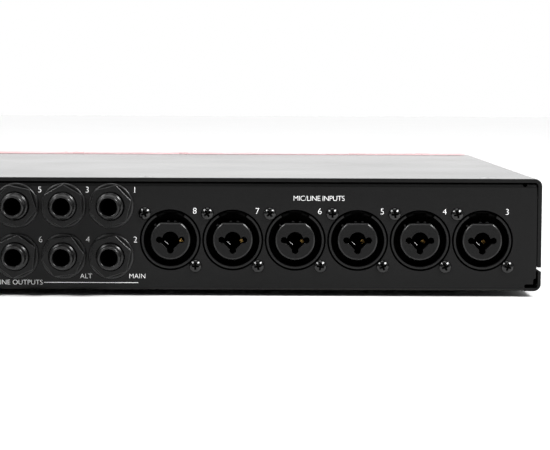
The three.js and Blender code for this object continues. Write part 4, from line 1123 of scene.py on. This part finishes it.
rear_lines = [
    ("MIC/LINE INPUTS", -132.9, BASE_Z + 36.1, 1.87, 0.91),
    ("MAIN", -62, BASE_Z + 5.4, 1.75),
    ("ALT", -42, BASE_Z + 5.35, 1.75),
    ("LINE OUTPUTS", -16, BASE_Z + 2.86, 1.75),
]
for i, x in enumerate(MIC_X):
    rear_lines.append((str(i + 3), x - 9.55, BASE_Z + 31.05, 2.2))
for column, x in enumerate(LINE_X):
    rear_lines.append((str(2 * column + 1), x - 9.25, BASE_Z + 39.15, 2.2))
    rear_lines.append((str(2 * column + 2), x - 9.45, BASE_Z + 19.7, 2.2))
z0, z1 = BASE_Z + 2.75, BASE_Z + 2.95
rear_strokes = [(-62.35, z0, -25.5, z1), (-6.5, z0, 30.35, z1)]
lettering("rear_legends", REAR_FACING, REAR_Y, rear_lines, rear_strokes)

meter_x, meter_head, meter_foot = METER_X[0], METER_Z[1] + 2.6, METER_Z[0] - 2.8
middle = sum(GAIN_X) / len(GAIN_X)
front_lines = [
    ("GAIN", middle, CONTROL_Z + 14, 2.0),
    ("MONITOR", MONITOR_X, CONTROL_Z + 16.6, 1.8),
    ("POWER", POWER_X, CONTROL_Z + 13.2, 1.8),
    ("INPUTS", meter_x + 22.5, meter_head, 1.6),
    ("MAIN", meter_x + 50, meter_head, 1.6),
    ("L", meter_x + 47.6, meter_foot, 1.5),
    ("R", meter_x + 52.2, meter_foot, 1.5),
]
front_lines += [(str(i), x, CONTROL_Z - 12.6, 2.2) for i, x in enumerate(GAIN_X, 1)]
front_lines += [(f"MIC {i}", x, CONTROL_Z + 16, 2.0) for i, x in enumerate(FRONT_MIC_X, 1)]
front_lines += [(f"PHONES {i}", x, PHONES_KNOB_Z + 11.2, 1.6) for i, x in enumerate(PHONES_X, 1)]
for label, (x, z) in zip(("48V 1", "48V 2", "DIM", "MUTE"), BUTTONS.values()):
    front_lines.append((label, x, z + 4.6, 1.5))
front_lines += [(text, meter_x + 6.6 + 4.6 * i, meter_foot, 1.5) for i, text in enumerate("12345678")]
z0, z1 = CONTROL_Z + 13.9, CONTROL_Z + 14.1
front_strokes = [(GAIN_X[0], z0, middle - 6, z1), (middle + 6, z0, GAIN_X[-1], z1)]
lettering("front_legends", FRONT_FACING, FRONT_Y, front_lines, front_strokes)


def scale(x, z, inner, outer):
    """Eleven marks round a knob, from the lower left to the lower right."""
    end, steps = 140, 10
    marks = []
    for step in range(steps + 1):
        mark = block((-0.14, -INK_HEIGHT, inner), (0.14, 0, outer))
        marks.append(moved(mark, (x, FRONT_Y, z), (0, -end + 2 * end / steps * step, 0)))
    return marks


scales = [mark for x, z in KNOBS.values() for mark in scale(x, z, 6.9, 7.9)]
scales += scale(MONITOR_X, CONTROL_Z, 13.7, 15.1)
keep(merged(scales), "knob_scales", *WHITE)

# ---------- room, light and camera

floor = solid([(-4000, -4000, 0), (4000, -4000, 0), (4000, 4000, 0), (-4000, 4000, 0)], [(0, 1, 2, 3)])
floor.name = "floor"
floor.data.materials.append(PAPER)


def softbox(name, at, size, power, look_at=(0, 0, 20)):
    light = bpy.data.objects.new(name, bpy.data.lights.new(name, "AREA"))
    light.data.shape = "RECTANGLE"
    light.data.size, light.data.size_y = size
    light.data.energy = power
    light.location = [c * MM for c in at]
    toward = Vector(look_at) - Vector(at)
    light.rotation_euler = toward.to_track_quat("-Z", "Y").to_euler()
    bpy.context.scene.collection.objects.link(light)


softbox("overhead_softbox", (-100, 350, 1500), (0.7, 0.4), 5)
softbox("right_softbox", (-900, 700, 900), (0.4, 0.3), 20, (-100, 127, 20))
softbox("left_softbox", (700, 700, 900), (0.35, 0.3), 9, (-100, 127, 20))

world = bpy.data.worlds.new("studio")
bpy.context.scene.world = world
world.use_nodes = True
tree = world.node_tree
direction = added(tree, "ShaderNodeTexCoord").outputs["Generated"]
split = added(tree, "ShaderNodeSeparateXYZ", [("Vector", direction)])
fall = added(tree, "ShaderNodeMapRange", [("Value", split.outputs["Y"])],
             From_Min=-0.4, From_Max=0.3, To_Min=1.8, To_Max=0.2)
fall.interpolation_type = "SMOOTHSTEP"
sky = added(tree, "ShaderNodeBackground", [("Color", fall.outputs["Result"])], Strength=1)
backdrop = added(tree, "ShaderNodeBackground", Color=(1, 1, 1, 1))
seen = added(tree, "ShaderNodeLightPath").outputs["Is Camera Ray"]
choose = added(tree, "ShaderNodeMixShader", [("Fac", seen), (1, sky.outputs[0]), (2, backdrop.outputs[0])])
tree.links.new(choose.outputs["Shader"], tree.nodes["World Output"].inputs["Surface"])

camera = bpy.data.objects.new("camera", bpy.data.cameras.new("camera"))
bpy.context.scene.collection.objects.link(camera)
bpy.context.scene.camera = camera
camera.data.sensor_width = 36
camera.data.lens = 120.4
camera.data.clip_start = 0.05
camera.data.clip_end = 50
yaw, pitch, roll = math.radians(-0.228), math.radians(4.358), math.radians(0.223)
forward = Vector((math.sin(yaw) * math.cos(pitch), -math.cos(yaw) * math.cos(pitch), -math.sin(pitch)))
level_right = Vector((-math.cos(yaw), -math.sin(yaw), 0))
level_up = level_right.cross(forward)
right = math.cos(roll) * level_right + math.sin(roll) * level_up
up = math.cos(roll) * level_up - math.sin(roll) * level_right
turned = Matrix((right, up, -forward)).transposed()
camera.matrix_world = Matrix.Translation(Vector((-112.93, 843.2, 82.64)) * MM) @ turned.to_4x4()

bpy.context.scene.view_settings.view_transform = "Standard"
